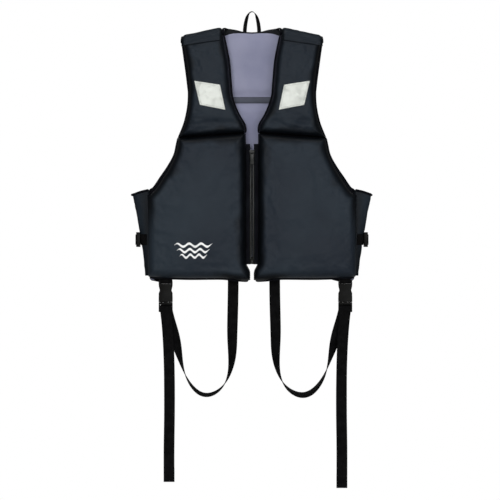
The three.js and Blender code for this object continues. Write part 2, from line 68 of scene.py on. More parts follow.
# places read from the frame
chestLow, chestHigh = low("chest_cover_left"), high("chest_cover_left")
shoulderHigh = high("shoulder_cover_left")
yokeLow, yokeHigh = low("shoulder_yoke_left"), high("shoulder_yoke_left")
gussetLow, gussetHigh = low("side_gusset_left"), high("side_gusset_left")
backSeam = (low("back_cover_upper")[2] + high("back_cover_lower")[2]) / 2
frontSeamY = chestHigh[1]                     # plane where the front panels' shell and lining meet
backSeamY = low("back_cover_lower")[1]        # and the same plane at the back
hem = chestLow[2] + 5 * mm
armpit = gussetHigh[2] + 2 * mm
hemHalf = chestHigh[0]
zipHalf = low("chest_cover_left")[0] + 9 * mm
seamInner = chestHigh[2] + 2.5 * mm           # chest seam at the zip
seamOuter = seamInner - 11 * mm               # and at the armhole
seamHalf = shoulderHigh[0] + 1 * mm
armholeHalf = seamHalf - 25 * mm
shoulderHalf = yokeHigh[0]
neckHalf = yokeLow[0] - 1 * mm
foamTop = shoulderHigh[2]                     # top of the shoulder panels at the neck
foamFall = 14 * mm                            # and its fall towards the arm
backHemRise, backCornerDrop = 48 * mm, 7 * mm
tailDrift = 8.2 * mm                          # how far the tail wanders sideways on its way down
webbing = high("strap_tail_left")[0] - low("strap_tail_left")[0] - tailDrift
webbingThick, cordWidth = 1.8 * mm, 25 * mm


# camera first
cameraSettings = {"lens": 120, "acrossView": 1.15, "x": -0.0046, "z": -0.554}


def makeCamera():
    data = bpy.data.cameras.new("camera")
    data.lens = cameraSettings["lens"]
    camera = bpy.data.objects.new("camera", data)
    bpy.context.scene.collection.objects.link(camera)
    reach = cameraSettings["acrossView"] * cameraSettings["lens"] / data.sensor_width
    camera.location = (cameraSettings["x"], frontSeamY - reach, cameraSettings["z"])
    camera.rotation_euler = (np.pi / 2, 0, 0)
    bpy.context.scene.camera = camera


makeCamera()
print("camera placed")


# numpy helpers
def smoothLine(points, count=160):
    # Catmull-Rom: a cubic between each two points, whose slope at a point is half the step past it
    p = np.array(points, float)
    q = np.vstack([2 * p[0] - p[1], p, 2 * p[-1] - p[-2]])
    t = np.linspace(0, len(p) - 1, count)
    i = np.minimum(t.astype(int), len(p) - 2)
    f = (t - i)[:, None]
    a, b, c, d = q[i], q[i + 1], q[i + 2], q[i + 3]
    return 0.5 * (2 * b + (c - a) * f + (2 * a - 5 * b + 4 * c - d) * f**2 + (3 * b - a - 3 * c + d) * f**3)


def alongLine(points, shares):
    # points at shares of the line's length
    step = np.r_[0, np.cumsum(np.linalg.norm(np.diff(points[:, :3], axis=0), axis=1))]
    axes = range(points.shape[1])
    return np.stack([np.interp(shares * step[-1], step, points[:, k]) for k in axes], axis=-1)


def flatLine(x, y, z):
    # a line of points where any of x, y and z may be one value for all
    return np.stack(np.broadcast_arrays(x, y, z), -1)


def lineLength(points):
    return float(np.linalg.norm(np.diff(points, axis=0), axis=1).sum())


def crowdedEnds(count, crowd=0.8):
    # 0 to 1, with steps that shorten towards both ends: a straight ramp mixed with half a cosine
    s = np.linspace(0, 1, count)
    return (1 - crowd) * s + crowd * (0.5 - 0.5 * np.cos(np.pi * s))


def softNoise(x, y, size, seed):
    # random values on a square lattice, joined by smooth steps; from -1 to 1
    lattice = np.random.default_rng(seed).uniform(-1, 1, (97, 97))
    gx, gy = x / size + 40.5, y / size + 40.5
    ix, iy = np.floor(gx).astype(int), np.floor(gy).astype(int)
    fx, fy = gx - ix, gy - iy
    fx, fy = fx * fx * (3 - 2 * fx), fy * fy * (3 - 2 * fy)
    ix, iy = ix % 96, iy % 96
    top = lattice[ix, iy] * (1 - fx) + lattice[ix + 1, iy] * fx
    bottom = lattice[ix, iy + 1] * (1 - fx) + lattice[ix + 1, iy + 1] * fx
    return top * (1 - fy) + bottom * fy


def easeBetween(value, start, end):
    # 0 before start and 1 past end, joined by the curve 3t squared less 2t cubed
    t = np.clip((value - start) / (end - start), 0, 1)
    return t * t * (3 - 2 * t)


def gridFaces(rows, columns, wrap=False):
    # quads of a grid whose vertices run row by row; wrap joins the last column to the first
    r, c = np.meshgrid(np.arange(rows - 1), np.arange(columns if wrap else columns - 1), indexing="ij")
    n = (c + 1) % columns
    here, above = r * columns, (r + 1) * columns
    return np.stack([here + c, here + n, above + n, above + c], -1).reshape(-1, 4)


def faceOutwards(mesh, weld=None):
    solid = bmesh.new()
    solid.from_mesh(mesh)
    if weld is not None:
        bmesh.ops.remove_doubles(solid, verts=solid.verts, dist=weld)
    bmesh.ops.recalc_face_normals(solid, faces=solid.faces)
    solid.to_mesh(mesh)
    solid.free()


def makePiece(name, verts, faces, uv=None, weld=None, openness=None):
    mesh = bpy.data.meshes.new(name)
    mesh.from_pydata(np.asarray(verts).reshape(-1, 3).tolist(), [], [list(f) for f in faces])
    if uv is not None:
        layer = mesh.uv_layers.new(name="UVMap")
        index = np.zeros(len(mesh.loops), int)
        mesh.loops.foreach_get("vertex_index", index)
        layer.data.foreach_set("uv", np.asarray(uv, np.float32).reshape(-1, 2)[index].ravel())
    if openness is not None:                    # painted shade: 0 at a seam, where the shell cloth is painted darkest, and 1 out on the face, which is left unshaded; the shell cloth reads it
        layer = mesh.attributes.new("openness", "FLOAT", "POINT")
        layer.data.foreach_set("value", np.asarray(openness, np.float32).ravel())
    if weld is not None:
        faceOutwards(mesh, weld)
    mesh.polygons.foreach_set("use_smooth", np.full(len(mesh.polygons), True))
    mesh.update()
    piece = bpy.data.objects.new(name, mesh)
    bpy.context.scene.collection.objects.link(piece)
    return piece


def pillow(name, face, rear, openness):
    # two grids that meet along their rims, where they are merged into one closed shape
    rows, columns = face.shape[:2]
    quads = gridFaces(rows, columns)
    faces = np.vstack([quads, quads[:, ::-1] + rows * columns])
    verts = np.concatenate([face.reshape(-1, 3), rear.reshape(-1, 3)])
    # painted shade: the face grid keeps its level of painted light and the rear grid is painted in full seam
    # shade
    both = np.concatenate([openness.ravel(), 0 * openness.ravel()])
    return makePiece(name, verts, faces, weld=2e-6, openness=both)


def dress(piece, look, body=None, nodes=()):
    piece.data.materials.clear()
    piece.data.materials.append(looks[look])
    if body:
        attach(piece, body)
    if nodes:
        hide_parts(*nodes)
    return piece


def roundedBar(width, thick):
    # a flat section with half-round edges, anticlockwise
    turn = np.linspace(-np.pi / 2, np.pi / 2, 5)
    edge = np.stack([width / 2 - thick / 2 + np.cos(turn) * thick / 2, np.sin(turn) * thick / 2], -1)
    return np.vstack([edge, -edge])


def sweep(name, path, across, depth, section):
    # a section carried along a path: across and depth are the directions of its two axes at each point
    rows, columns = len(path), len(section)
    verts = path[:, None] + across[:, None] * section[None, :, :1] + depth[:, None] * section[None, :, 1:]
    faces = gridFaces(rows, columns, wrap=True).tolist()
    faces.append(list(range(columns))[::-1])
    faces.append([(rows - 1) * columns + k for k in range(columns)])
    gone = np.r_[0, np.cumsum(np.linalg.norm(np.diff(path, axis=0), axis=1))]
    uv = np.stack([np.tile(section[:, 0], (rows, 1)), np.tile(gone[:, None], (1, columns))], -1)
    piece = makePiece(name, verts, faces, uv=uv)
    faceOutwards(piece.data)
    return piece


def unit(v):
    return v / np.linalg.norm(v, axis=-1, keepdims=True)


def tube(name, points, radius, flat=1.0, reference=(0, 1, 0), count=90):
    # a round or flattened bead along a smooth line, which narrows at its last two steps
    path = alongLine(smoothLine(points, count * 3), np.linspace(0, 1, count))
    t = unit(np.gradient(path, axis=0))
    across = unit(np.cross(np.array(reference, float), t))
    deep = np.cross(t, across)
    turn = np.linspace(0, 2 * np.pi, 12, endpoint=False)
    section = np.stack([np.cos(turn) * radius, np.sin(turn) * radius * flat], -1)
    ends = np.clip(np.minimum(np.arange(count), np.arange(count)[::-1]) / 2, 0, 1) ** 0.5 * 0.7 + 0.3
    return sweep(name, path, across * ends[:, None], deep * ends[:, None], section)


# materials
def addNodes(tree, *kinds):
    return [tree.nodes.new(kind) for kind in kinds]


def startLook(name):
    material = bpy.data.materials.new(name)
    material.use_nodes = True
    tree = material.node_tree
    return material, tree, tree.links.new, tree.nodes["Principled BSDF"]


def setRange(node, lowHigh):
    node.inputs["To Min"].default_value, node.inputs["To Max"].default_value = lowHigh


def clothLook(name, settings):
    # two colours in soft patches, a plain weave of two crossed waves, and small creases in the bump
    material, tree, link, shader = startLook(name)
    place, patchy, ramp, creases, warp, weft, product, weaveBump, creaseBump, rough = addNodes(
        tree, "ShaderNodeTexCoord", "ShaderNodeTexNoise", "ShaderNodeValToRGB", "ShaderNodeTexNoise",
        "ShaderNodeTexWave", "ShaderNodeTexWave", "ShaderNodeMath", "ShaderNodeBump", "ShaderNodeBump",
        "ShaderNodeMapRange")
    source = place.outputs["UV" if settings.get("along") else "Object"]
    for node in (patchy, creases, warp, weft):
        link(source, node.inputs["Vector"])
    patchy.inputs["Scale"].default_value = settings["patchScale"]
    patchy.inputs["Detail"].default_value = 4
    ramp.color_ramp.elements[0].position = 0.35
    ramp.color_ramp.elements[1].position = 0.68
    ramp.color_ramp.elements[0].color = (*settings["dark"], 1)
    ramp.color_ramp.elements[1].color = (*settings["light"], 1)
    link(patchy.outputs["Fac"], ramp.inputs["Fac"])
    if settings.get("seamShade"):               # painted shade: the cloth is painted darker towards a seam, where its wall turns away from the light, than on the open face
        openness, lift, shade = addNodes(tree, "ShaderNodeAttribute", "ShaderNodeMapRange", "ShaderNodeMix")
        openness.attribute_name = "openness"
        setRange(lift, (settings["seamShade"], 1))
        shade.data_type = "RGBA"
        shade.blend_type = "MULTIPLY"
        shade.inputs["Factor"].default_value = 1
        link(openness.outputs["Fac"], lift.inputs["Value"])
        link(ramp.outputs["Color"], shade.inputs["A"])
        link(lift.outputs["Result"], shade.inputs["B"])
        link(shade.outputs["Result"], shader.inputs["Base Color"])
    else:
        link(ramp.outputs["Color"], shader.inputs["Base Color"])
    warp.bands_direction = "X"
    weft.bands_direction = "Y" if settings.get("along") else "Z"
    for node, pitch in ((warp, settings["warp"]), (weft, settings["weft"])):
        node.inputs["Scale"].default_value = 2 * np.pi / (20 * pitch)
        node.inputs["Distortion"].default_value = settings.get("wander", 0.6)
    product.operation = "MULTIPLY"
    link(warp.outputs["Fac"], product.inputs[0])
    link(weft.outputs["Fac"], product.inputs[1])
    weaveBump.inputs["Strength"].default_value = settings["weaveStrength"]
    weaveBump.inputs["Distance"].default_value = 0.0004
    link(product.outputs[0], weaveBump.inputs["Height"])
    creases.inputs["Scale"].default_value = settings["creaseScale"]
    creases.inputs["Detail"].default_value = 5
    creaseBump.inputs["Strength"].default_value = settings["creaseStrength"]
    creaseBump.inputs["Distance"].default_value = 0.004
    link(creases.outputs["Fac"], creaseBump.inputs["Height"])
    link(weaveBump.outputs["Normal"], creaseBump.inputs["Normal"])
    link(creaseBump.outputs["Normal"], shader.inputs["Normal"])
    setRange(rough, settings["rough"])
    link(patchy.outputs["Fac"], rough.inputs["Value"])
    link(rough.outputs["Result"], shader.inputs["Roughness"])
    shader.inputs["Specular IOR Level"].default_value = settings.get("specular", 0.3)
    shader.inputs["Sheen Weight"].default_value = settings.get("sheen", 0.1)
    shader.inputs["Sheen Roughness"].default_value = 0.5
    return material


def plasticLook(name, settings):
    # moulded plastic: a fine grain in the bump and slightly uneven gloss
    material, tree, link, shader = startLook(name)
    place, grain, uneven, ramp, rough, bump = addNodes(
        tree, "ShaderNodeTexCoord", "ShaderNodeTexNoise", "ShaderNodeTexNoise", "ShaderNodeValToRGB",
        "ShaderNodeMapRange", "ShaderNodeBump")
    for node, scale in ((grain, settings["grainScale"]), (uneven, settings["patchScale"])):
        link(place.outputs["Object"], node.inputs["Vector"])
        node.inputs["Scale"].default_value = scale
        node.inputs["Detail"].default_value = 3
    ramp.color_ramp.elements[0].color = (*settings["dark"], 1)
    ramp.color_ramp.elements[1].color = (*settings["light"], 1)
    link(uneven.outputs["Fac"], ramp.inputs["Fac"])
    link(ramp.outputs["Color"], shader.inputs["Base Color"])
    setRange(rough, settings["rough"])
    link(uneven.outputs["Fac"], rough.inputs["Value"])
    link(rough.outputs["Result"], shader.inputs["Roughness"])
    bump.inputs["Strength"].default_value = settings["grainStrength"]
    bump.inputs["Distance"].default_value = 0.0003
    link(grain.outputs["Fac"], bump.inputs["Height"])
    link(bump.outputs["Normal"], shader.inputs["Normal"])
    shader.inputs["Metallic"].default_value = settings.get("metal", 0)
    shader.inputs["Specular IOR Level"].default_value = settings.get("specular", 0.5)
    return material


clothSettings = {
    "shellNylon": {
        "dark": (0.0118, 0.0165, 0.0240), "light": (0.0172, 0.0245, 0.0330), "patchScale": 7,
        "warp": 0.0009, "weft": 0.0009, "weaveStrength": 0.25, "creaseScale": 26, "creaseStrength": 0.16,
        "rough": (0.4, 0.55), "specular": 0.08, "sheen": 0, "seamShade": 0.16},
    "liningCloth": {
        "dark": (0.180, 0.186, 0.268), "light": (0.245, 0.251, 0.338), "patchScale": 9,
        "warp": 0.0011, "weft": 0.0011, "weaveStrength": 0.3, "creaseScale": 30, "creaseStrength": 0.15,
        "rough": (0.7, 0.85), "specular": 0.15, "sheen": 0.05},
    "channelCloth": {
        "dark": (0.042, 0.047, 0.062), "light": (0.075, 0.08, 0.105), "patchScale": 16,
        "warp": 0.0011, "weft": 0.0011, "weaveStrength": 0.4, "creaseScale": 60, "creaseStrength": 0.3,
        "rough": (0.7, 0.85), "specular": 0.2},
    "edgeTape": {
        "dark": (0.003, 0.003, 0.0045), "light": (0.006, 0.0068, 0.009), "patchScale": 30, "along": True,
        "warp": 0.0014, "weft": 0.0011, "weaveStrength": 0.6, "creaseScale": 120, "creaseStrength": 0.2,
        "rough": (0.7, 0.85), "specular": 0.03, "sheen": 0},
    "strapWebbing": {
        "dark": (0.0022, 0.0022, 0.0024), "light": (0.005, 0.005, 0.0053), "patchScale": 60, "along": True,
        "warp": 0.0021, "weft": 0.0016, "weaveStrength": 1.0, "creaseScale": 200, "creaseStrength": 0.2,
        "rough": (0.6, 0.8), "specular": 0.03, "sheen": 0, "wander": 1.4},
    "stitchThread": {
        "dark": (0.006, 0.007, 0.010), "light": (0.012, 0.014, 0.018), "patchScale": 300,
        "warp": 0.0004, "weft": 0.0004, "weaveStrength": 0.5, "creaseScale": 900, "creaseStrength": 0.2,
        "rough": (0.5, 0.7), "specular": 0.08, "sheen": 0},
}
clothSettings["patchThread"] = dict(
    clothSettings["stitchThread"], dark=(0.30, 0.31, 0.29), light=(0.42, 0.43, 0.40))
plasticSettings = {
    "buckleNylon": {
        "dark": (0.0024, 0.0024, 0.0022), "light": (0.0046, 0.0046, 0.0042), "patchScale": 90,
        "grainScale": 2600, "grainStrength": 0.25, "rough": (0.34, 0.5), "specular": 0.06},
    "zipTeeth": {
        "dark": (0.0045, 0.005, 0.0045), "light": (0.009, 0.010, 0.0085), "patchScale": 120,
        "grainScale": 3000, "grainStrength": 0.15, "rough": (0.3, 0.45), "specular": 0.18},
    "reflectiveSheet": {
        "dark": (0.44, 0.46, 0.43), "light": (0.52, 0.54, 0.50), "patchScale": 22,
        "grainScale": 1500, "grainStrength": 0.4, "rough": (0.32, 0.5), "specular": 0.5, "metal": 0.1},
    "printedInk": {
        "dark": (0.72, 0.73, 0.73), "light": (0.84, 0.84, 0.83), "patchScale": 60,
        "grainScale": 1800, "grainStrength": 0.3, "rough": (0.5, 0.62), "specular": 0.3},
}
looks = {name: clothLook(name, s) for name, s in clothSettings.items()}
looks.update({name: plasticLook(name, s) for name, s in plasticSettings.items()})
print("materials made")


# padded panels
def coonsPatch(bottom, top, inner, outer, u, v):
    # a patch between four edges: the two blends of opposite edges, added, less the blend of the corners
    b, t = alongLine(bottom, u)[None], alongLine(top, u)[None]
    i, o = alongLine(inner, v)[:, None], alongLine(outer, v)[:, None]
    along, up = u[None, :, None], v[:, None, None]
    corners = ((1 - along) * (1 - up) * bottom[0] + along * (1 - up) * bottom[-1]
               + (1 - along) * up * top[0] + along * up * top[-1])
    return (1 - up) * b + up * t + (1 - along) * i + along * o - corners


def edgeDistance(outline, x, z):
    # the shortest distance from each point to a closed outline of short steps
    a, b = outline, np.roll(outline, -1, axis=0)
    points = np.stack([x.ravel(), z.ravel()], -1)
    nearest = np.full(len(points), 1e9)
    for start, step in zip(a, b - a):
        square = step @ step
        if square < 1e-14:
            continue
        t = np.clip(((points - start) @ step) / square, 0, 1)
        nearest = np.minimum(nearest, np.linalg.norm(points - start - t[:, None] * step, axis=1))
    return nearest.reshape(x.shape)


def padHeight(pad, x, z, seed):
    # a wall that rises steeply from the seam and rounds over to a face, as a superellipse of the distance
    # to the seam. A broad crown, tucks beside the seam, long creases, waves and low folds are added to it
    d, seamLine = edgeDistance(pad["outline"], x, z), pad["seamLine"]
    roundness = pad["round"] + pad.get("lowRound", 0) * (1 - easeBetween(z, seamLine, seamLine + 0.06))
    squareness = pad.get("squareTop", 0) * easeBetween(z + 0.13 * np.abs(x), -0.075, -0.06)
    roundness = roundness - (pad["round"] - 5 * mm) * squareness
    t = np.clip(d / roundness, 0, 1)
    wall = (1 - (1 - t) ** pad["square"]) ** (1 / pad["square"])
    crown = pad["crown"] * easeBetween(d, 0, 0.075)
    near = easeBetween(d, 0.002, 0.016) * (1 - 0.75 * easeBetween(d, 0.025, 0.07))
    tucks = softNoise(x, z, pad["tuckSize"], seed) + 0.6 * softNoise(x, z, pad["tuckSize"] * 0.45, seed + 1)
    creases = 1 - np.abs(softNoise(x + 0.35 * z, z - 0.2 * x, 0.055, seed + 2)) * 2.4
    waves = softNoise(x, z, 0.07, seed + 3)
    soft = easeBetween(d, 0.004, 0.03)
    folds = softNoise(x * 0.5, z * 1.6 + 0.25 * x, 0.017, seed + 4) * easeBetween(d, 0.003, 0.02)
    folds = folds * pad.get("lowFold", 0) * (1 - easeBetween(z, seamLine + 0.03, seamLine + 0.075))
    groove = np.exp(-(((z - seamLine - 0.08 * np.abs(x) - 0.028) / 0.009) ** 2))   # a bell above the low roll
    folds = folds - pad.get("lowRoll", 0) * groove * easeBetween(d, 0.005, 0.03)
    return (pad["thick"] - pad["crown"]) * wall + crown + pad["tuck"] * tucks * near \
        + pad["crease"] * np.clip(creases, 0, 1) * soft + pad["wave"] * waves * soft + folds


def padPoint(pad, x, z, seed, lift=0.0):
    # y of the padded face, with lift above it
    return pad["seamY"] + pad["way"] * (padHeight(pad, x, z, seed) + lift)


def padPiece(name, pad, side, seed, mirrored=False):
    # the panel's patch twice: raised by the pad's height outside, and flat on the seam's plane inside
    u, v = crowdedEnds(pad["columns"]), crowdedEnds(pad["rows"])
    flat = coonsPatch(*pad["edges"], u, v)
    x, z = flat[..., 0], flat[..., 1]
    if mirrored:                                # the outline is one half; the other is its mirror image
        x = np.concatenate([-x[:, :0:-1], x], axis=1)
        z = np.concatenate([z[:, :0:-1], z], axis=1)
    y = padPoint(pad, x, z, seed)
    d = edgeDistance(pad["outline"], x, z)
    y[d < 1e-5] = pad["seamY"]
    face = np.stack([x * side, y, z], -1)
    rear = np.stack([x * side, np.full_like(x, pad["seamY"]), z], -1)
    # painted shade: the band of painted seam shade has a width that wanders
    uneven = d * (1 + 0.4 * softNoise(x, z, 0.028, seed + 7))
    openness = easeBetween(uneven, pad["round"] * 0.3, pad["round"] * 1.2)
    # painted shade: low on the sides the cloth is painted hardly darker at the seam, and a pad's painted
    # light scale, if given, darkens the whole pad
    lowerSide = easeBetween(-z, 0.44, 0.53) * easeBetween(np.abs(x), 0.05, 0.1)
    openness = (1 - (1 - openness) * (1 - 0.8 * lowerSide)) * pad.get("open", 1)
    return pillow(name, face, rear, openness)


def closedOutline(bottom, top, inner, outer, mirrored=False):
    if mirrored:
        half = np.vstack([bottom, outer, top[::-1]])
        return np.vstack([half, (half * (-1, 1))[::-1]])
    return np.vstack([bottom, outer, top[::-1], inner[::-1]])


def shareLine(start, end, shares):
    # points between two corners, each given as its share of the way across and of the way up or down
    return [(start[0] + (end[0] - start[0]) * a, start[1] + (end[1] - start[1]) * b) for a, b in shares]


armholeStart, armholeEnd = (seamHalf, seamOuter), (hemHalf, armpit)
lowerArmhole = shareLine(armholeStart, armholeEnd, (
    (0.1, 0.27), (0.28, 0.485), (0.52, 0.69), (0.75, 0.87), (1, 1)))
backArmhole = shareLine(armholeStart, armholeEnd, (
    (0.12, 0.26), (0.32, 0.46), (0.58, 0.66), (0.83, 0.845), (1, 0.885)))
upperArmhole = [(seamHalf + a * mm, foamTop - foamFall + (seamOuter - foamTop + foamFall) * d)
                for a, d in ((-10, 0), (-22, 0.33), (-25, 0.6), (-17, 0.82), (-1, 1))]
neckline = shareLine((zipHalf + 1 * mm, seamInner), (neckHalf - 3 * mm, foamTop), (
    (0, 0), (0.07, 0.09), (0.37, 0.21), (0.62, 0.365), (0.69, 0.52), (0.79, 0.76), (1, 1)))

noSeam = -2.0    # a height below everything, for a panel that doesn't end at the chest seam
chestPad = {
    "thick": 38 * mm, "seamLine": noSeam, "round": 20 * mm, "square": 2.3, "crown": 4 * mm,
    "tuckSize": 17 * mm, "tuck": 1.2 * mm, "crease": 1.4 * mm, "wave": 2 * mm,
    "columns": 120, "rows": 150, "seamY": frontSeamY, "way": -1}
# the shoulder pads are painted darker all over, a painted shade because less light reaches them than the
# chest
shoulderPad = {
    "thick": 32 * mm, "seamLine": seamOuter, "round": 16 * mm, "square": 2.4, "crown": 3 * mm,
    "tuckSize": 15 * mm, "tuck": 1.1 * mm, "crease": 1.0 * mm, "wave": 1.3 * mm,
    "lowRound": 12 * mm, "lowFold": 3.6 * mm, "lowRoll": 3.5 * mm, "open": 0.82, "squareTop": 1,
    "columns": 90, "rows": 120, "seamY": frontSeamY, "way": -1}
backUpperPad = {
    "thick": 33 * mm, "seamLine": noSeam, "round": 17 * mm, "square": 2.4, "crown": 2.5 * mm,
    "tuckSize": 16 * mm, "tuck": 1.1 * mm, "crease": 1.0 * mm, "wave": 1.4 * mm, "squareTop": 1,
    "columns": 90, "rows": 100, "seamY": backSeamY, "way": 1}
backLowerPad = dict(backUpperPad, squareTop=0, columns=110, rows=150)


def setEdges(pad, edges, mirrored=False):
    pad["edges"] = edges
    pad["outline"] = closedOutline(*edges, mirrored=mirrored)


seamGap = 0.6 * mm                              # the sewn panels all but meet
chestTop = [(zipHalf, seamInner - seamGap), (seamHalf, seamOuter - seamGap)]
shoulderFoot = [(zipHalf + 1 * mm, seamInner + seamGap), (seamHalf - 1 * mm, seamOuter + seamGap)]
frontCorner, hemCorner = (4 * mm, hem - 4 * mm), (hemHalf - 4 * mm, hem + 3 * mm)
setEdges(chestPad, (
    smoothLine([frontCorner, (20 * mm, hem - 6 * mm), (64 * mm, hem), (0.15, hem), hemCorner]),
    smoothLine(chestTop, 40),
    smoothLine([frontCorner, (4.5 * mm, hem + 16 * mm), (11 * mm, hem + 30 * mm), (zipHalf, hem + 44 * mm),
                (zipHalf, hem + 0.12), (zipHalf, -0.4), chestTop[0]]),
    np.vstack([
        smoothLine([hemCorner, (hemHalf, hem + 14 * mm), (hemHalf, -0.52), (hemHalf, armpit - 1 * mm)], 60),
        smoothLine([*reversed(lowerArmhole), chestTop[1]], 80)]),
))
setEdges(shoulderPad, (
    smoothLine(shoulderFoot, 40),
    smoothLine([neckline[-1], upperArmhole[0]], 40),
    smoothLine([shoulderFoot[0], *neckline[1:]]),
    smoothLine([shoulderFoot[1], *reversed(upperArmhole[:-1])]),
))
shoulderEnd = (shoulderHalf - 2 * mm, foamTop - foamFall)
backCorner = (hemHalf - 4 * mm, hem + 1 * mm)
backHemLine = smoothLine([
    (0, hem + backHemRise), (hemHalf * 0.28, hem + backHemRise * 0.85),
    (hemHalf * 0.62, hem + backHemRise * 0.25), (hemHalf - 14 * mm, hem - backCornerDrop + 1 * mm),
    backCorner], 100)
collarLine = ((0, -49.5 * mm), (20 * mm, -48 * mm), (38 * mm, -44.5 * mm), (56 * mm, -42 * mm),
              (neckHalf - 1 * mm, -46 * mm))
liningTop = ((0, -51.5 * mm), (20 * mm, -50.5 * mm), (43 * mm, -51 * mm), (62 * mm, -56 * mm),
             (neckHalf - 1 * mm, -60 * mm))
liningTopLine, backTopLine = (
    np.vstack([smoothLine(line, 40), smoothLine([(neckHalf, turn), shoulderEnd], 40)])
    for line, turn in ((liningTop, -61 * mm), (collarLine, -47 * mm)))
backSeamLine = smoothLine([(0, backSeam), (armholeHalf, backSeam)], 40)
backUpperSide = smoothLine([(armholeHalf, backSeam), (armholeHalf + 3 * mm, backSeam * 0.7 + foamTop * 0.3),
                            shoulderEnd], 60)
backLowerSide = np.vstack([
    smoothLine([backCorner, (hemHalf, hem + 14 * mm), (hemHalf, -0.52), backArmhole[-1]], 60),
    smoothLine([*reversed(backArmhole), armholeStart,
                (armholeHalf + 8 * mm, backSeam * 0.4 + seamOuter * 0.6), (armholeHalf, backSeam)], 100)])
middleLine = smoothLine([(0, hem + backHemRise), (0, backSeam)], 20)
setEdges(backUpperPad, (backSeamLine, backTopLine, smoothLine([(0, backSeam), collarLine[0]], 40),
                        backUpperSide), mirrored=True)
setEdges(backLowerPad, (backHemLine, backSeamLine, middleLine, backLowerSide), mirrored=True)


def followFront(piece):
    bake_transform(piece)


def makePads():
    for side, word in sides:
        seed = 10 + side
        chest = padPiece(f"chestPad_{word}", chestPad, side, seed)
        dress(chest, "shellNylon", f"front_{word}", [f"chest_cover_{word}", f"chest_foam_{word}"])
        shoulder = padPiece(f"shoulderPad_{word}", shoulderPad, side, seed + 20)
        dress(shoulder, "shellNylon", None, [f"shoulder_cover_{word}", f"shoulder_foam_{word}"])
        followFront(shoulder)
    for place, pad, seed in (("upper", backUpperPad, 51), ("lower", backLowerPad, 61)):
        panel = padPiece(f"backPad_{place}", pad, 1, seed, mirrored=True)
        dress(panel, "shellNylon", "back", [f"back_cover_{place}", f"back_foam_{place}"])


makePads()
print("padded panels made")


# stitches: a small capsule laid again and again along a line
stitchSettings = {"pitch": 3.4 * mm, "long": 2.5 * mm, "thick": 0.42 * mm, "arch": 0.25 * mm}


def stitchRow(name, line, out):
    # each stitch is a six-sided capsule that lies along the line and arches outwards
    count = max(2, int(lineLength(line) / stitchSettings["pitch"]))
    spots = alongLine(line, (np.arange(count) + 0.5) / count)
    run = unit(alongLine(line, np.clip((np.arange(count) + 0.7) / count, 0, 1)) - spots)
    out = np.array(out, float)
    out = unit(out - run * (run @ out)[:, None])
    across = np.cross(run, out)
    rings = np.array([(-0.5, 0.15), (-0.42, 0.75), (0, 1), (0.42, 0.75), (0.5, 0.15)])
    turn = np.linspace(0, 2 * np.pi, 6, endpoint=False)
    a, r = rings[:, :1] * stitchSettings["long"], rings[:, 1:] * stitchSettings["thick"]
    lift = (1 - (2 * rings[:, :1]) ** 2) * stitchSettings["arch"]
    local = np.stack([a + 0 * turn, r * np.cos(turn), r * np.sin(turn) + lift], -1)       # along, across, out
    verts = (spots[:, None, None] + local[None, ..., :1] * run[:, None, None]
             + local[None, ..., 1:2] * across[:, None, None] + local[None, ..., 2:] * out[:, None, None])
    bases = range(0, count * 30, 30)                    # 30 points to a stitch
    quads = (gridFaces(5, 6, wrap=True)[None] + np.array(bases)[:, None, None]).reshape(-1, 4)[:, ::-1]
    caps = [[base + k for k in range(6)] for base in bases]
    caps += [[base + 24 + k for k in range(5, -1, -1)] for base in bases]
    piece = makePiece(name, verts, quads.tolist() + caps)
    faceOutwards(piece.data)
    return piece


def stitch(name, line, body=None, out=(0, -1, 0), thread="stitchThread"):
    return dress(stitchRow(name, line, out), thread, body)


# sheets and linings
def borderFaces(rows, columns):
    # quads round the rim that join a front grid to a rear grid stored after it
    grid = np.arange(rows * columns).reshape(rows, columns)
    loop = np.concatenate([grid[0, :-1], grid[:-1, -1], grid[-1, :0:-1], grid[:0:-1, 0]])
    after = np.roll(loop, -1)
    return np.stack([after, loop, loop + rows * columns, after + rows * columns], -1)


def sheetSolid(name, face, rear, uv=None, openness=None):
    # a thin closed sheet from two grids of points, whose uv, if any, is the same on both
    rows, columns = face.shape[:2]
    quads = gridFaces(rows, columns)
    faces = np.vstack([quads, quads[:, ::-1] + rows * columns, borderFaces(rows, columns)])
    uv = None if uv is None else np.concatenate([uv.reshape(-1, 2)] * 2)
    openness = None if openness is None else np.concatenate([openness.ravel()] * 2)
    verts = np.concatenate([face.reshape(-1, 3), rear.reshape(-1, 3)])
    return makePiece(name, verts, faces, uv=uv, weld=1e-7, openness=openness)


liningSettings = {"thick": 1.0 * mm, "clear": 0.5 * mm, "puff": 1.2 * mm, "backPuff": 4.5 * mm,
                  "channel": 8 * mm, "tapeThick": 0.45 * mm, "tapeCrest": 1.15 * mm, "tapeWidth": 0.93,
                  "tapeStitch": 0.8}     # width and stitches as shares of the channel


def frontLining(name, pad, side, seed):
    # the flat patch of its pad, drawn in a little, that swells between its seams
    u, v = np.linspace(0.006, 0.994, 60), np.linspace(0.006, 0.994, 70)
    flat = coonsPatch(*pad["edges"], u, v)
    x, z = flat[..., 0], flat[..., 1]
    d = edgeDistance(pad["outline"], x, z)
    swell = liningSettings["puff"] * easeBetween(d, 0, 0.05) * (0.6 + 0.4 * softNoise(x, z, 0.05, seed))
    near = pad["seamY"] + liningSettings["clear"]
    face = np.stack([x * side, near + np.zeros_like(x), z], -1)
    rear = np.stack([x * side, near + liningSettings["thick"] + swell, z], -1)
    return sheetSolid(name, face, rear)


def liningSide():
    # the lining stops short of the bound lower armhole
    side = np.vstack([backLowerSide, backUpperSide[1:]])
    z = side[:, 1]
    near = easeBetween(z, armpit - 2 * mm, armpit + 14 * mm)
    near = near * (1 - easeBetween(z, seamOuter - 20 * mm, seamOuter + 30 * mm))
    return side - near[:, None] * (6 * mm, 7 * mm)


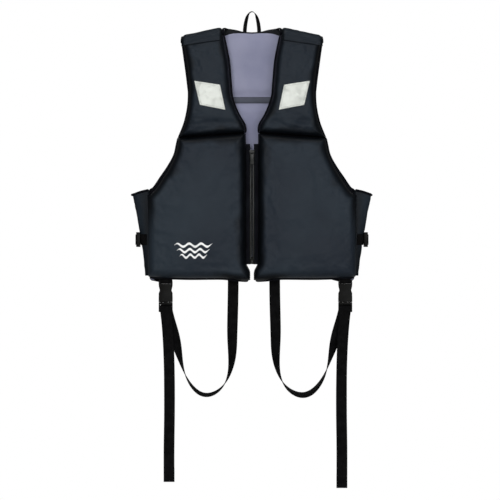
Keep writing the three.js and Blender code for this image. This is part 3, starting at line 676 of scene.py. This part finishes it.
def makeBackLining():
    # the back lining swells above and below a stitched channel: its height is a curve of the distance to its
    # edges times a curve of the distance to the seam, with small creases beside the channel
    side = liningSide()
    half = coonsPatch(backHemLine, liningTopLine, smoothLine([(0, hem + backHemRise), liningTop[0]], 60),
                      side, np.linspace(0, 0.996, 70), np.linspace(0.003, 0.997, 190))
    x = np.concatenate([-half[:, :0:-1, 0], half[..., 0]], axis=1)
    z = np.concatenate([half[:, :0:-1, 1], half[..., 1]], axis=1)
    d = edgeDistance(closedOutline(backHemLine, liningTopLine, None, side, mirrored=True), x, z)
    off, channel = np.abs(z - backSeam), liningSettings["channel"]
    swell = liningSettings["backPuff"] * easeBetween(d, 0, 0.04)
    swell = swell * easeBetween(off, channel * 0.9, channel + 20 * mm)
    swell = swell * (0.85 + 0.15 * softNoise(x, z, 0.045, 97))
    swell = swell + 1.0 * mm * np.clip(1 - (off / channel) ** 2, 0, 1)
    swell = swell + 0.5 * mm * softNoise(x, z, 0.014, 98) * easeBetween(off, channel, channel + 5 * mm) \
        * (1 - easeBetween(off, channel + 8 * mm, channel + 30 * mm))
    near = backSeamY - liningSettings["clear"]
    front = near - liningSettings["thick"]
    face, rear = np.stack([x, front - swell, z], -1), np.stack([x, near + np.zeros_like(x), z], -1)
    back = sheetSolid("backLining", face, rear)
    dress(back, "liningCloth", "back", ["back_lining"])
    tapeEnd = armholeHalf - 6 * mm
    x, up = np.meshgrid(np.linspace(-tapeEnd, tapeEnd, 80), np.linspace(-1, 1, 9))
    # a parabola over the channel
    crest = liningSettings["tapeCrest"] * np.clip(1 - up**2, 0, 1) + liningSettings["tapeThick"]
    z = backSeam + up * channel * liningSettings["tapeWidth"]
    tape = sheetSolid("channelTape", np.stack([x, front - crest, z], -1), np.stack([x, front + 0 * x, z], -1))
    dress(tape, "channelCloth", "back")
    x = np.linspace(2 * mm - tapeEnd, tapeEnd - 2 * mm, 120)
    for k, shift in enumerate((-1, 1)):
        line = flatLine(x, near - 1.7 * mm, backSeam + shift * channel * liningSettings["tapeStitch"])
        stitch(f"channelStitch_{k}", line, "back")


def makeLinings():
    for side, word in sides:
        chest = frontLining(f"chestLining_{word}", chestPad, side, 81 + side)
        dress(chest, "liningCloth", f"front_{word}", [f"chest_lining_{word}"])
        shoulder = frontLining(f"shoulderLining_{word}", shoulderPad, side, 91 + side)
        dress(shoulder, "liningCloth", None, [f"shoulder_lining_{word}"])
        followFront(shoulder)
    makeBackLining()


makeLinings()
print("linings made")


# shoulder yokes
yokeSettings = {"pad": 8 * mm, "front": -79 * mm, "rear": 15.5 * mm, "lip": 12 * mm, "square": 2.5,
                "round": 2.2, "fold": 1.0 * mm}


def yokePiece(side, word):
    # an arch over the shoulder: a superellipse across front and back, whose crest and foot fall towards
    # the arm, raised by a pad that thins to nothing along its four edges
    share, turn = np.meshgrid(crowdedEnds(36), crowdedEnds(70, 0.6), indexing="ij")
    start, end = neckHalf - 0.5 * mm, shoulderHalf + 0.5 * mm
    x = start + (end - start) * share
    crest = yokeHigh[2] + 1.5 * mm - 20 * mm * share
    foot = foamTop - yokeSettings["lip"] - foamFall * share
    angle = np.pi * (1.03 - 1.06 * turn)
    edge = np.minimum(x - start, end - x)
    lips = np.minimum(turn, 1 - turn) * 0.19                                # metres from the nearer lip
    t = np.clip(np.minimum(edge / (9 * mm), lips / (5 * mm)), 0, 1)
    thick = yokeSettings["pad"] * (1 - (1 - t) ** yokeSettings["round"]) ** (1 / yokeSettings["round"])
    folds = softNoise(x, lips * 4 + 0.3 * x, 0.016, 140 + side)
    folds = folds * yokeSettings["fold"] * easeBetween(edge, 0, 0.012)
    middleY = (yokeSettings["front"] + yokeSettings["rear"]) / 2
    n = 2 / yokeSettings["square"]

    def arch(raised):
        a = (yokeSettings["rear"] - yokeSettings["front"]) / 2 - yokeSettings["pad"] + raised
        b = crest - foot - yokeSettings["pad"] + raised
        c, h = np.cos(angle), np.sin(angle)
        y, z = middleY + a * np.sign(c) * np.abs(c) ** n, foot + b * np.sign(h) * np.abs(h) ** n
        return np.stack([x * side, y, z], -1)

    outer, inner = arch(thick + folds * (t > 0.6)), arch(0 * thick)
    # painted shade: the yoke, which faces the light, is painted darker all over and darkest towards its edges
    piece = pillow(f"yoke_{word}", outer, inner, easeBetween(t, 0.2, 1) * 0.6)
    dress(piece, "shellNylon", "back", [f"shoulder_yoke_{word}"])
    for k, at in enumerate((0.045, 0.955)):
        line = outer[3:-3, int(at * (outer.shape[1] - 1))]
        stitch(f"yokeStitch_{word}_{k}", line, "back", (0, -1 if k else 1, 0))


for side, word in sides:
    yokePiece(side, word)
print("yokes made")


# bound edges
bindingSettings = {"radius": 3.0 * mm, "flat": 0.75}


def boundEdge(name, points, side, nodes=(), body=None, word=None, reference=(0, 1, 0), count=90, wide=1.0):
    # a flattened bead along the edge; a word in place of a body leaves it on no body, with its transform
    # baked in
    points = [(p[0] * side, p[1], p[2]) for p in points]
    radius, flat = bindingSettings["radius"] * wide, bindingSettings["flat"] / wide
    piece = tube(name, points, radius, flat, reference, count)
    dress(piece, "edgeTape", body, nodes)
    if word:
        followFront(piece)


def bindFront(side, word):
    y = frontSeamY - 1 * mm
    lapel = [(zipHalf + 1 * mm, y, seamInner + 1 * mm), *((x - 1 * mm, y, z) for x, z in neckline[1:-1]),
             (neckline[-1][0] - 0.5 * mm, y, foamTop)]
    boundEdge(f"lapelEdge_{word}", lapel, side, [f"lapel_binding_{word}"], word=word)
    arm = [(x + 1 * mm, y, z) for x, z in upperArmhole[:-1]] + [(seamHalf, y, seamOuter - 2 * mm)]
    boundEdge(f"armEdge_{word}", arm, side, [f"armhole_binding_{word}"], word=word)
    chestArm = [(seamHalf, y, seamOuter + 1 * mm)] + [(x + 1 * mm, y, z + 0.5 * mm) for x, z in lowerArmhole]
    boundEdge(f"chestEdge_{word}", chestArm, side, body=f"front_{word}")
    chestJoin = [(zipHalf + 3 * mm, y + 2 * mm, seamInner), (seamHalf - 2 * mm, y + 2 * mm, seamOuter)]
    boundEdge(f"chestJoin_{word}", chestJoin, side, body=f"front_{word}", count=40, wide=1.2)
    foot = alongLine(chestPad["edges"][0], np.linspace(0.02, 1, 9))
    boundEdge(f"frontHemEdge_{word}", [(p[0], y, p[1] - 1 * mm) for p in foot], side, body=f"front_{word}")


def bindArmhole(side, word):
    y, end = backSeamY - 0.5 * mm, foamTop - foamFall
    line = [(shoulderHalf - 1 * mm, end), (armholeHalf + 4 * mm, backSeam * 0.7 + foamTop * 0.3),
            (armholeHalf + 1 * mm, backSeam), (armholeHalf + 9 * mm, backSeam * 0.4 + seamOuter * 0.6),
            (seamHalf + 1 * mm, seamOuter), *((x + 1 * mm, z + 0.5 * mm) for x, z in backArmhole)]
    backArm = [(x - 1.5 * mm, y, z - 1.5 * mm) for x, z in line]
    boundEdge(f"backArmEdge_{word}", backArm, side, body="back", count=120, wide=1.7)
    # y in mm and z in metres
    arch = ((-74, end - 8 * mm), (-66, end + 1 * mm), (-32, yokeHigh[2] - 22 * mm), (2, end + 1 * mm),
            (10, end - 8 * mm))
    yokeEnd = [(shoulderHalf, y * mm, z) for y, z in arch]
    boundEdge(f"yokeArmEdge_{word}", yokeEnd, side, body="back", reference=(1, 0, 0), count=60)


def bindNeckAndHem():
    crest = yokeHigh[2]
    neckSide = [
        (neckHalf - 3 * mm, frontSeamY - 1 * mm, foamTop - 1 * mm),
        (neckHalf - 2.5 * mm, -0.066, foamTop + 5 * mm),
        (neckHalf - 3 * mm, -0.05, crest - 5 * mm), (neckHalf - 6 * mm, -0.03, crest - 1 * mm),
        (neckHalf - 13 * mm, -0.010, crest - 0.5 * mm), (38 * mm, -0.003, -44.5 * mm),
        (20 * mm, 0, -48.5 * mm)]
    ring = neckSide + [(0, 0, -50.5 * mm)] + [(-x, y, z) for x, y, z in reversed(neckSide)]
    boundEdge("neckEdge", ring, 1, ["neck_binding"], "back", reference=(0, 0.4, 1), count=160)
    half = [(p[0], backSeamY + 0.5 * mm, p[1] - 1 * mm) for p in alongLine(backHemLine, np.linspace(0, 1, 9))]
    line = [(-x, y, z) for x, y, z in reversed(half[1:])] + half
    boundEdge("backHemEdge", line, 1, body="back", count=160, wide=1.6)


for side, word in sides:
    bindFront(side, word)
    bindArmhole(side, word)
bindNeckAndHem()
print("bound edges made")


# flat webbing and tape
def ribbonRoute(rows, count, depth=(0, 1, 0), ease=0):
    # each row is x, y, z and the lean of the width in degrees: 0 lies square to depth and 90 lies along it.
    # ease is how often each point moves to the mean of its neighbours, which rounds the bends
    line = alongLine(smoothLine(rows, count * 4), np.linspace(0, 1, count))
    for _ in range(ease):
        line[1:-1] = (line[:-2] + 2 * line[1:-1] + line[2:]) / 4
    path, lean = line[:, :3], np.radians(line[:, 3:])
    t = unit(np.gradient(path, axis=0))
    deep = unit(np.array(depth, float) - t * (t @ np.array(depth, float))[:, None])
    across = np.cross(deep, t) * np.cos(lean) + deep * np.sin(lean)
    return path, across, np.cross(t, across)


def ribbon(name, rows, width, thick, count, depth=(0, 1, 0), ease=0):
    # a flat section carried along the route, whose width turns with the lean
    path, across, out = ribbonRoute(rows, count, depth, ease)
    return sweep(name, path, across, out, roundedBar(width, thick)), path


loopSettings = {"width": 9 * mm, "thick": 1.2 * mm}
# half of the loop: x, z in mm and the lean in degrees
loopSide = ((17.2, -58, 0), (17, -50, 2), (15.5, -31.5, 12), (12, -14.7, 40), (7, -3.7, 78))


def makeHangLoop():
    rows = [(x * mm, 0, z * mm, lean) for x, z, lean in loopSide] + [(0, 0, 0.6 * mm, 90)] \
        + [(-x * mm, 0, z * mm, 180 - lean) for x, z, lean in reversed(loopSide)]
    loop, _ = ribbon("hangLoop", rows, loopSettings["width"], loopSettings["thick"], 90)
    dress(loop, "strapWebbing", "back", ["hang_loop"])
    for side, word in sides:
        stitch(f"loopStitch_{word}", flatLine(np.linspace(13.4, 20.2, 12) * side * mm, -0.9 * mm, -49.5 * mm),
               "back")


makeHangLoop()


# reflective patches and the printed mark, which lie on the padded faces
# x, z in mm of the outer and inner corners, the low pair first
patchCorners = ((119, -223), (61, -234), (132, -168), (73, -177))


def layOn(name, pad, x, z, side, seed, lift):
    # a thin sheet whose two faces follow the padded face at two heights above it
    face, rear = (np.stack([x * side, padPoint(pad, x, z, seed, height), z], -1) for height in lift)
    return sheetSolid(name, face, rear), face


def patchPiece(side, word):
    # a mix of the four corners by the share across and the share up
    grid = np.stack(np.meshgrid(np.linspace(0, 1, 30), np.linspace(0, 1, 30)), -1)
    across, up = grid[..., :1], grid[..., 1:]
    lowOuter, lowInner, highOuter, highInner = (np.array(c) * mm for c in patchCorners)
    outer, inner = (1 - up) * lowOuter + up * highOuter, (1 - up) * lowInner + up * highInner
    flat = (1 - across) * outer + across * inner
    piece, face = layOn(f"reflectivePatch_{word}", shoulderPad, flat[..., 0], flat[..., 1], side, 30 + side,
                        (0.75 * mm, 0.1 * mm))
    dress(piece, "reflectiveSheet", None, [f"reflective_patch_{word}"])
    followFront(piece)
    rim = np.vstack([face[2, 2:-2], face[2:-2, -3], face[-3, 2:-2][::-1], face[2:-2, 2][::-1]])
    followFront(stitch(f"patchStitch_{word}", rim, thread="patchThread"))


# each wave below the first is shorter and lies further in
markSettings = {"waves": 3, "outer": 0.177, "length": 0.087, "shorter": 0.012, "further": 0.006,
                "z": -0.543, "pitch": 0.0125, "swing": 0.0036, "turns": 3.2, "half": 0.0027}


def waveMark():
    # each wave is a strip about a sine that narrows towards both ends
    m = markSettings
    for k in range(m["waves"]):
        along, across = np.meshgrid(np.linspace(0, 1, 80), np.linspace(-1, 1, 5))
        x = m["outer"] - (m["length"] - m["shorter"] * k) * along - m["further"] * k
        centre = m["z"] - m["pitch"] * k + m["swing"] * np.sin(along * 2 * m["turns"] * np.pi)
        z = centre + across * m["half"] * np.clip(np.sin(np.pi * along) * 2.4, 0.12, 1)
        wave, _ = layOn(f"printedWave_{k}", chestPad, x, z, -1, 9, (0.3 * mm, 0.02 * mm))
        dress(wave, "printedInk", "front_right")


for side, word in sides:
    patchPiece(side, word)
waveMark()
print("loop, patches and mark made")


# moulded pieces: the frame's own shapes with rounded edges
def polishNode(node, name, look, body, bevel, segments=2, shape=None):
    # shape, if given, is a function that moves the points before the edges are rounded
    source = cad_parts[node]
    solid = bmesh.new()
    solid.from_mesh(source.data)
    solid.transform(source.matrix_world)
    bmesh.ops.remove_doubles(solid, verts=solid.verts, dist=1e-5)
    bmesh.ops.dissolve_limit(solid, angle_limit=0.03, verts=solid.verts, edges=solid.edges)
    if shape:
        shape(solid)
    mesh = bpy.data.meshes.new(name)
    solid.to_mesh(mesh)
    solid.free()
    mesh.polygons.foreach_set("use_smooth", np.full(len(mesh.polygons), True))
    piece = bpy.data.objects.new(name, mesh)
    bpy.context.scene.collection.objects.link(piece)
    edges = piece.modifiers.new("edges", "BEVEL")
    edges.width = bevel
    edges.segments = segments
    edges.limit_method = "ANGLE"
    edges.angle_limit = np.radians(30)
    edges.harden_normals = True
    dress(piece, look, body, [node])


# side cloth with its belt and adjuster
gussetSettings = {"lowBulge": 5 * mm, "highBulge": 33 * mm, "thick": 1.4 * mm, "rimFall": 11 * mm,
                  "pleat": 1.1 * mm, "rim": 3.6 * mm}
gussetX = hemHalf + 2 * mm
gussetMiddleY, gussetHalfY = (gussetLow[1] + gussetHigh[1]) / 2, (gussetHigh[1] - gussetLow[1]) / 2
rimEnd = armpit + 17 * mm


def gussetPoint(angle, z, raised=0.0):
    # an arch from the front edge to the rear one, whose reach grows upwards as a power of the height
    share = np.clip((z - gussetLow[2]) / (armpit - gussetLow[2]), 0, 1.1)
    lowBulge, highBulge = gussetSettings["lowBulge"], gussetSettings["highBulge"]
    reach = lowBulge + (highBulge - lowBulge) * share**1.3 + raised
    return np.stack([gussetX - 4 * mm * (1 - np.sin(angle)) + reach * np.sin(angle) ** 0.8,
                     gussetMiddleY - (gussetHalfY + raised * 0.6) * np.cos(angle), z + 0 * angle], -1)


def gussetPiece(side, word):
    # the arch up the side with pleats across it, and a rim that dips between its ends
    angle, share = np.meshgrid(np.linspace(0, np.pi, 48), np.linspace(0, 1, 110))
    top = rimEnd - gussetSettings["rimFall"] * np.sin(angle)
    z = gussetLow[2] + (top - gussetLow[2]) * share
    turned = angle * 0.02
    pleats = softNoise(turned, z * 0.35, 0.006, 200 + side) + 0.5 * softNoise(turned, z, 0.011, 210 + side)
    pleats = pleats * gussetSettings["pleat"] * np.sin(angle)
    face = gussetPoint(angle, z, pleats)
    rear = gussetPoint(angle, z, pleats - gussetSettings["thick"])
    mirror = np.array((side, 1, 1))
    # painted shade: the side cloth is painted darker all over, darkest low down and at its front and rear
    # edges
    openness = 0.25 + 0.45 * easeBetween(np.sin(angle), 0.1, 0.7) * easeBetween(share, 0.2, 0.75)
    piece = sheetSolid(f"sideCloth_{word}", face * mirror, rear * mirror, openness=openness)
    dress(piece, "shellNylon", "back", [f"side_gusset_{word}"])
    rim = (face[-1] * mirror - (0, 0, 1 * mm))[::5]
    edge = tube(f"sideRim_{word}", rim, gussetSettings["rim"], 0.8, (0, 0, 1), 60)
    dress(edge, "edgeTape", "back")


beltSettings = {"clear": 1.5 * mm, "from": 10, "to": 170, "thicken": 3.6 * mm, "wrapThick": 1.5 * mm}
# x, y in mm of the webbing that turns round the adjuster's bar
wrapRows = ((-4, 5.2), (2.5, 4.6), (6, 2.2), (6.6, -1), (6, -4.2), (2.5, -6.6), (-4, -7.2))
adjusterZ = middle("waist_adjuster_left")[2]


def beltPiece(side, word):
    # the side cloth's arch again, raised by the belt's clearance and its thickness, which thins at both edges
    mirror = np.array((side, 1, 1))
    turn = np.radians(np.linspace(beltSettings["from"], beltSettings["to"], 70))
    angle, height = np.meshgrid(turn, np.linspace(-webbing / 2, webbing / 2, 9))
    thin = webbingThick * np.clip((1 - (2 * np.abs(height) / webbing) ** 6), 0.3, 1)
    face = gussetPoint(angle, adjusterZ + height, beltSettings["clear"] + thin)
    rear = gussetPoint(angle, adjusterZ + height, beltSettings["clear"] + 0 * thin)
    uv = np.stack([height, angle * 0.028], -1)
    belt = sheetSolid(f"waistBelt_{word}", face * mirror, rear * mirror, uv)
    dress(belt, "strapWebbing", "back", [f"waist_webbing_{word}"])

    def thicken(solid):
        outer = max(abs(v.co.x) for v in solid.verts)
        for v in solid.verts:
            if outer - abs(v.co.x) > 2.5 * mm:
                v.co.x -= side * beltSettings["thicken"]
    polishNode(f"waist_adjuster_{word}", f"adjuster_{word}", "buckleNylon", f"adjuster_{word}",
               1.1 * mm, shape=thicken)
    barX = high("waist_adjuster_left")[0] - 5 * mm
    rows = [((barX + x * mm) * side, gussetMiddleY + y * mm, adjusterZ, 90) for x, y in wrapRows]
    wrap, _ = ribbon(f"adjusterWrap_{word}", rows, webbing - 1 * mm, beltSettings["wrapThick"], 40, (0, 0, 1))
    dress(wrap, "strapWebbing", f"adjuster_{word}")


for side, word in sides:
    gussetPiece(side, word)
    beltPiece(side, word)
print("sides made")


# front zip
zipSettings = {"tapeInner": 4.2 * mm, "tapeOuter": 25 * mm, "tapeThick": 1.1 * mm, "foot": 32 * mm,
               "ripple": 0.3 * mm, "stitchX": 8.4 * mm, "boxFoot": 0.4 * mm, "boxOverlap": 2.6 * mm}
zipFoot, zipTop = hem + zipSettings["foot"], high("zip_tape_right")[2]


def zipTape(side, word):
    # a flat strip whose outer edge ripples
    across, z = np.meshgrid(np.linspace(0, 1, 14), np.linspace(zipFoot, zipTop, 160))
    x = zipSettings["tapeInner"] + (zipSettings["tapeOuter"] - zipSettings["tapeInner"]) * across
    y = frontSeamY + 0.4 * mm + zipSettings["ripple"] * softNoise(x, z, 0.012, 300 + side) * across
    face, rear = np.stack([x * side, y, z], -1), np.stack([x * side, y + zipSettings["tapeThick"], z], -1)
    tape = sheetSolid(f"zipTape_{word}", face, rear, np.stack([x, z], -1))
    dress(tape, "edgeTape", f"front_{word}", [f"zip_tape_{word}"])
    height = np.linspace(zipFoot + 4 * mm, zipTop - 3 * mm, 60)
    line = flatLine(side * zipSettings["stitchX"], frontSeamY + 0.2 * mm, height)
    stitch(f"zipStitch_{word}", line, f"front_{word}")
    polishNode(f"zip_teeth_{word}", f"zipTeeth_{word}", "zipTeeth", f"front_{word}", 0.3 * mm, 1)


def reachComb(comb):
    # the box and pin stand between their comb and the foot of the tape, and all but meet
    def shape(solid):
        middleZ = np.mean([v.co.z for v in solid.verts])
        top = low(comb)[2] + zipSettings["boxOverlap"]
        for v in solid.verts:
            v.co.z = top if v.co.z > middleZ else zipFoot + zipSettings["boxFoot"]
            if abs(v.co.x) < 1 * mm:
                v.co.x *= 0.15
    return shape


def makeZip():
    for side, word in sides:
        zipTape(side, word)
    for node, name, word in (("zip_box", "zipBox", "right"), ("zip_pin", "zipPin", "left")):
        shape = reachComb(f"zip_teeth_{word}")
        polishNode(node, name, "buckleNylon", f"front_{word}", 0.7 * mm, shape=shape)
    for node, name, body, bevel in (("zip_slider", "zipSlider", "slider", 0.45),
                                    ("zip_slider_rear", "zipSliderRear", "slider", 0.4),
                                    ("zip_pull", "zipPull", "pull", 0.5)):
        polishNode(node, name, "zipTeeth", body, bevel * mm)


makeZip()
print("zip made")


# crotch straps and buckles
strapRows = (   # share of the way to the buckle, share of the drop below the hem, y in mm, lean in degrees
    (0, -0.21, -20.5, 0), (0, 0.067, -20.8, 2), (0.006, 0.274, -21.6, 6), (0.015, 0.482, -22.4, 18),
    (0.012, 0.648, -23.4, 42), (0.05, 0.803, -24.6, 74), (0.15, 0.922, -25.4, 98), (0.3, 0.984, -26, 114),
    (0.44, 1, -26.4, 118), (0.58, 0.943, -26.8, 112), (0.7, 0.839, -27, 98), (0.765, 0.73, -27, 80),
    (0.82, 0.606, -27.2, 48), (0.88, 0.471, -28, 12), (0.955, 0.337, -29.4, 2), (0.99, 0.25, -30.4, 0),
    (1, 0.21, -30.6, 0))
tabRows = ((-3.4, 24), (-3.4, -2), (-2.9, -6.4), (0, -8.7), (2.9, -6.4), (3.4, -2), (3.4, 24))   # y, z in mm
tailRows = (    # mm outwards, y in mm, mm below the top of the buckle, lean past square
    (0, 0, 71.6, 0), (4, -0.6, 110, 2), (7, 0.6, 160, -4), (8.6, 1.4, 220, -7), (9, 0, 300, 5),
    (8, -1, 390, 3))
strapSettings = {"loopDrop": 274 * mm, "tailDrop": 476 * mm, "tailUneven": 7 * mm, "tailForward": 4.8 * mm}
buckleTop = high("buckle_socket_left")[2]
buckleSettings = {"bevel": 1.3 * mm, "waist": 0.84, "waistAt": 25 * mm, "waistSpread": 7 * mm,
                  "topRound": 9 * mm, "topNarrow": 0.93, "slotEnd": 0.915, "mouth": 1.6 * mm}


def waistSocket(centre):
    # the socket narrows below its top and widens again towards its mouth: x is scaled by a bell curve of the
    # height, and by a quarter circle at the top
    s = buckleSettings

    def shape(solid):
        for down in (3, 7, 12, 20, 25, 30, 36, 43, 49):
            bmesh.ops.bisect_plane(solid, geom=solid.verts[:] + solid.edges[:] + solid.faces[:], dist=1e-6,
                                   plane_co=(0, 0, buckleTop - down * mm), plane_no=(0, 0, 1))
        for v in solid.verts:
            down = buckleTop - v.co.z
            bell = np.exp(-((down - s["waistAt"]) / s["waistSpread"]) ** 2)
            top = np.sqrt(1 - (1 - np.clip(down / s["topRound"], 0, 1)) ** 2)
            narrow = (1 - (1 - s["waist"]) * bell) * (s["topNarrow"] + (1 - s["topNarrow"]) * top)
            reach = abs(v.co.x - centre)
            if 13 * mm < reach < 14.2 * mm and down < 11 * mm:
                narrow = s["slotEnd"]                     # the slot ends close on the tab
            elif reach <= 13.6 * mm:
                narrow = 1
            v.co.x = centre + (v.co.x - centre) * narrow
    return shape


def closeMouth(solid):
    for v in solid.verts:
        if 52 * mm < buckleTop - v.co.z < 56 * mm:
            v.co.z += buckleSettings["mouth"]


def crotchStrap(side, word):
    # from the back's hem down, across and up to the plug
    centre = middle(f"buckle_socket_{word}")[0]
    anchor = side * 48 * mm + 4.5 * mm
    across, drop = centre - anchor, strapSettings["loopDrop"]
    rows = [(anchor + across * a, y * mm, hem - drop * d, lean) for a, d, y, lean in strapRows]
    strap, path = ribbon(f"crotchStrap_{word}", rows, webbing, webbingThick, 240, ease=90)
    dress(strap, "strapWebbing", None, [f"crotch_strap_{word}"])
    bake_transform(strap)


def strapTail(side, word):
    # from the plug straight down, with a folded and stitched end
    centre, y = middle(f"buckle_socket_{word}")[:2]
    tailY, plug = y - strapSettings["tailForward"], f"plug_{word}"
    wrapRows = [
        (centre, y + 1.4 * mm, buckleTop - 60.2 * mm, 90), (centre, y - 2.6 * mm, buckleTop - 60 * mm, 90),
        (centre, tailY - 0.1 * mm, buckleTop - 63.6 * mm, 90), (centre, tailY, buckleTop - 72.4 * mm, 90)]
    wrap, _ = ribbon(f"tailWrap_{word}", wrapRows, webbing + 1.7 * mm, webbingThick, 30, (1, 0, 0))
    dress(wrap, "strapWebbing", plug)
    rows = [(centre - side * a * mm, tailY + b * mm, buckleTop - down * mm, 90 + lean)
            for a, b, down, lean in tailRows]
    foot = hem - strapSettings["tailDrop"] - side * strapSettings["tailUneven"]
    rows.append((centre - side * 8 * mm, tailY, foot, 90))
    tail, path = ribbon(f"strapTail_{word}", rows, webbing, webbingThick, 160, (1, 0, 0))
    dress(tail, "strapWebbing", plug, [f"strap_tail_{word}"])
    x, y, z = path[-1]
    foldRows = [(x, y + (webbingThick + 0.1 * mm), z + k * mm, 90) for k in (32, 20, 8, 0.2)]
    fold, _ = ribbon(f"tailFold_{word}", foldRows, webbing, webbingThick, 12, (1, 0, 0))
    dress(fold, "strapWebbing", plug)
    for k, rise in enumerate((7, 27)):
        line = flatLine(x + np.linspace(-10, 10, 12) * mm, y - 0.95 * mm, z + rise * mm)
        stitch(f"tailStitch_{word}_{k}", line, plug)


def buckle(word):
    centre, y = middle(f"buckle_socket_{word}")[:2]
    rows = [(centre, y + a * mm, buckleTop + b * mm, 90) for a, b in tabRows]
    loop, _ = ribbon(f"socketTab_{word}", rows, webbing - 0.5 * mm, webbingThick, 60, (1, 0, 0))
    dress(loop, "strapWebbing", "back", [f"socket_tab_{word}"])
    bevel = buckleSettings["bevel"]
    for node, name, body, width, shape in (
            ("buckle_socket", "buckleSocket", "back", bevel, waistSocket(centre)),
            ("buckle_plug", "bucklePlug", f"plug_{word}", bevel, closeMouth),
            ("plug_arm_outer", "plugArm_outer", f"arm_outer_{word}", 0.9 * mm, None),
            ("plug_arm_inner", "plugArm_inner", f"arm_inner_{word}", 0.9 * mm, None)):
        polishNode(f"{node}_{word}", f"{name}_{word}", "buckleNylon", body, width, 3, shape)


for side, word in sides:
    crotchStrap(side, word)
    strapTail(side, word)
    buckle(word)
print("straps and buckles made")


# floor, backdrop and light
stageSettings = {"floorZ": -1.22, "floorSize": 30, "floorShade": 0.75, "ambient": 0.14}


def whiteToCamera(tree, output, glow, dim):
    # plain white to the camera and something paler to every other ray
    path, mix = addNodes(tree, "ShaderNodeLightPath", "ShaderNodeMixShader")
    tree.links.new(path.outputs["Is Camera Ray"], mix.inputs["Fac"])
    tree.links.new(dim.outputs[0], mix.inputs[1])
    tree.links.new(glow.outputs[0], mix.inputs[2])
    tree.links.new(mix.outputs[0], tree.nodes[output].inputs["Surface"])


def makeStage():
    bpy.ops.mesh.primitive_plane_add(size=stageSettings["floorSize"],
                                     location=(0, 0, stageSettings["floorZ"]))
    floor = bpy.context.object
    floor.name = "floor"
    pale, tree, _, _ = startLook("paleFloor")
    glow, matt = addNodes(tree, "ShaderNodeEmission", "ShaderNodeBsdfDiffuse")
    matt.inputs["Color"].default_value = (*[stageSettings["floorShade"]] * 3, 1)
    whiteToCamera(tree, "Material Output", glow, matt)
    floor.data.materials.append(pale)
    world = bpy.data.worlds.new("studio")
    bpy.context.scene.world = world
    world.use_nodes = True
    tree = world.node_tree
    white, dim = addNodes(tree, "ShaderNodeBackground")[0], tree.nodes["Background"]
    for node, strength in ((white, 1), (dim, stageSettings["ambient"])):
        node.inputs["Color"].default_value = (1, 1, 1, 1)
        node.inputs["Strength"].default_value = strength
    whiteToCamera(tree, "World Output", white, dim)


softboxes = (   # name, place, aimed at, size, power
    ("key", (-0.5, -3.2, 0.35), (0, 0, -0.5), 1.3, 62),
    ("fill", (1.3, -2.9, -0.5), (0, 0, -0.5), 1.2, 26),
    ("overhead", (0, -0.5, 1.6), (0, 0, -0.3), 1.0, 17),
    ("rearFill", (0, 2.6, 0.1), (0, 0, -0.5), 1.8, 20),
)


def makeLights():
    for name, place, aim, size, power in softboxes:
        data = bpy.data.lights.new(name, "AREA")
        data.size = size
        data.energy = power
        lamp = bpy.data.objects.new(name, data)
        lamp.location = place
        away = np.array(place) - np.array(aim)
        flat = np.hypot(away[0], away[1])
        lamp.rotation_euler = (np.arctan2(flat, away[2]), 0, np.arctan2(away[0], -away[1]))
        bpy.context.scene.collection.objects.link(lamp)


makeStage()
makeLights()
bpy.context.scene.view_settings.view_transform = "Standard"
print("stage and lights made")
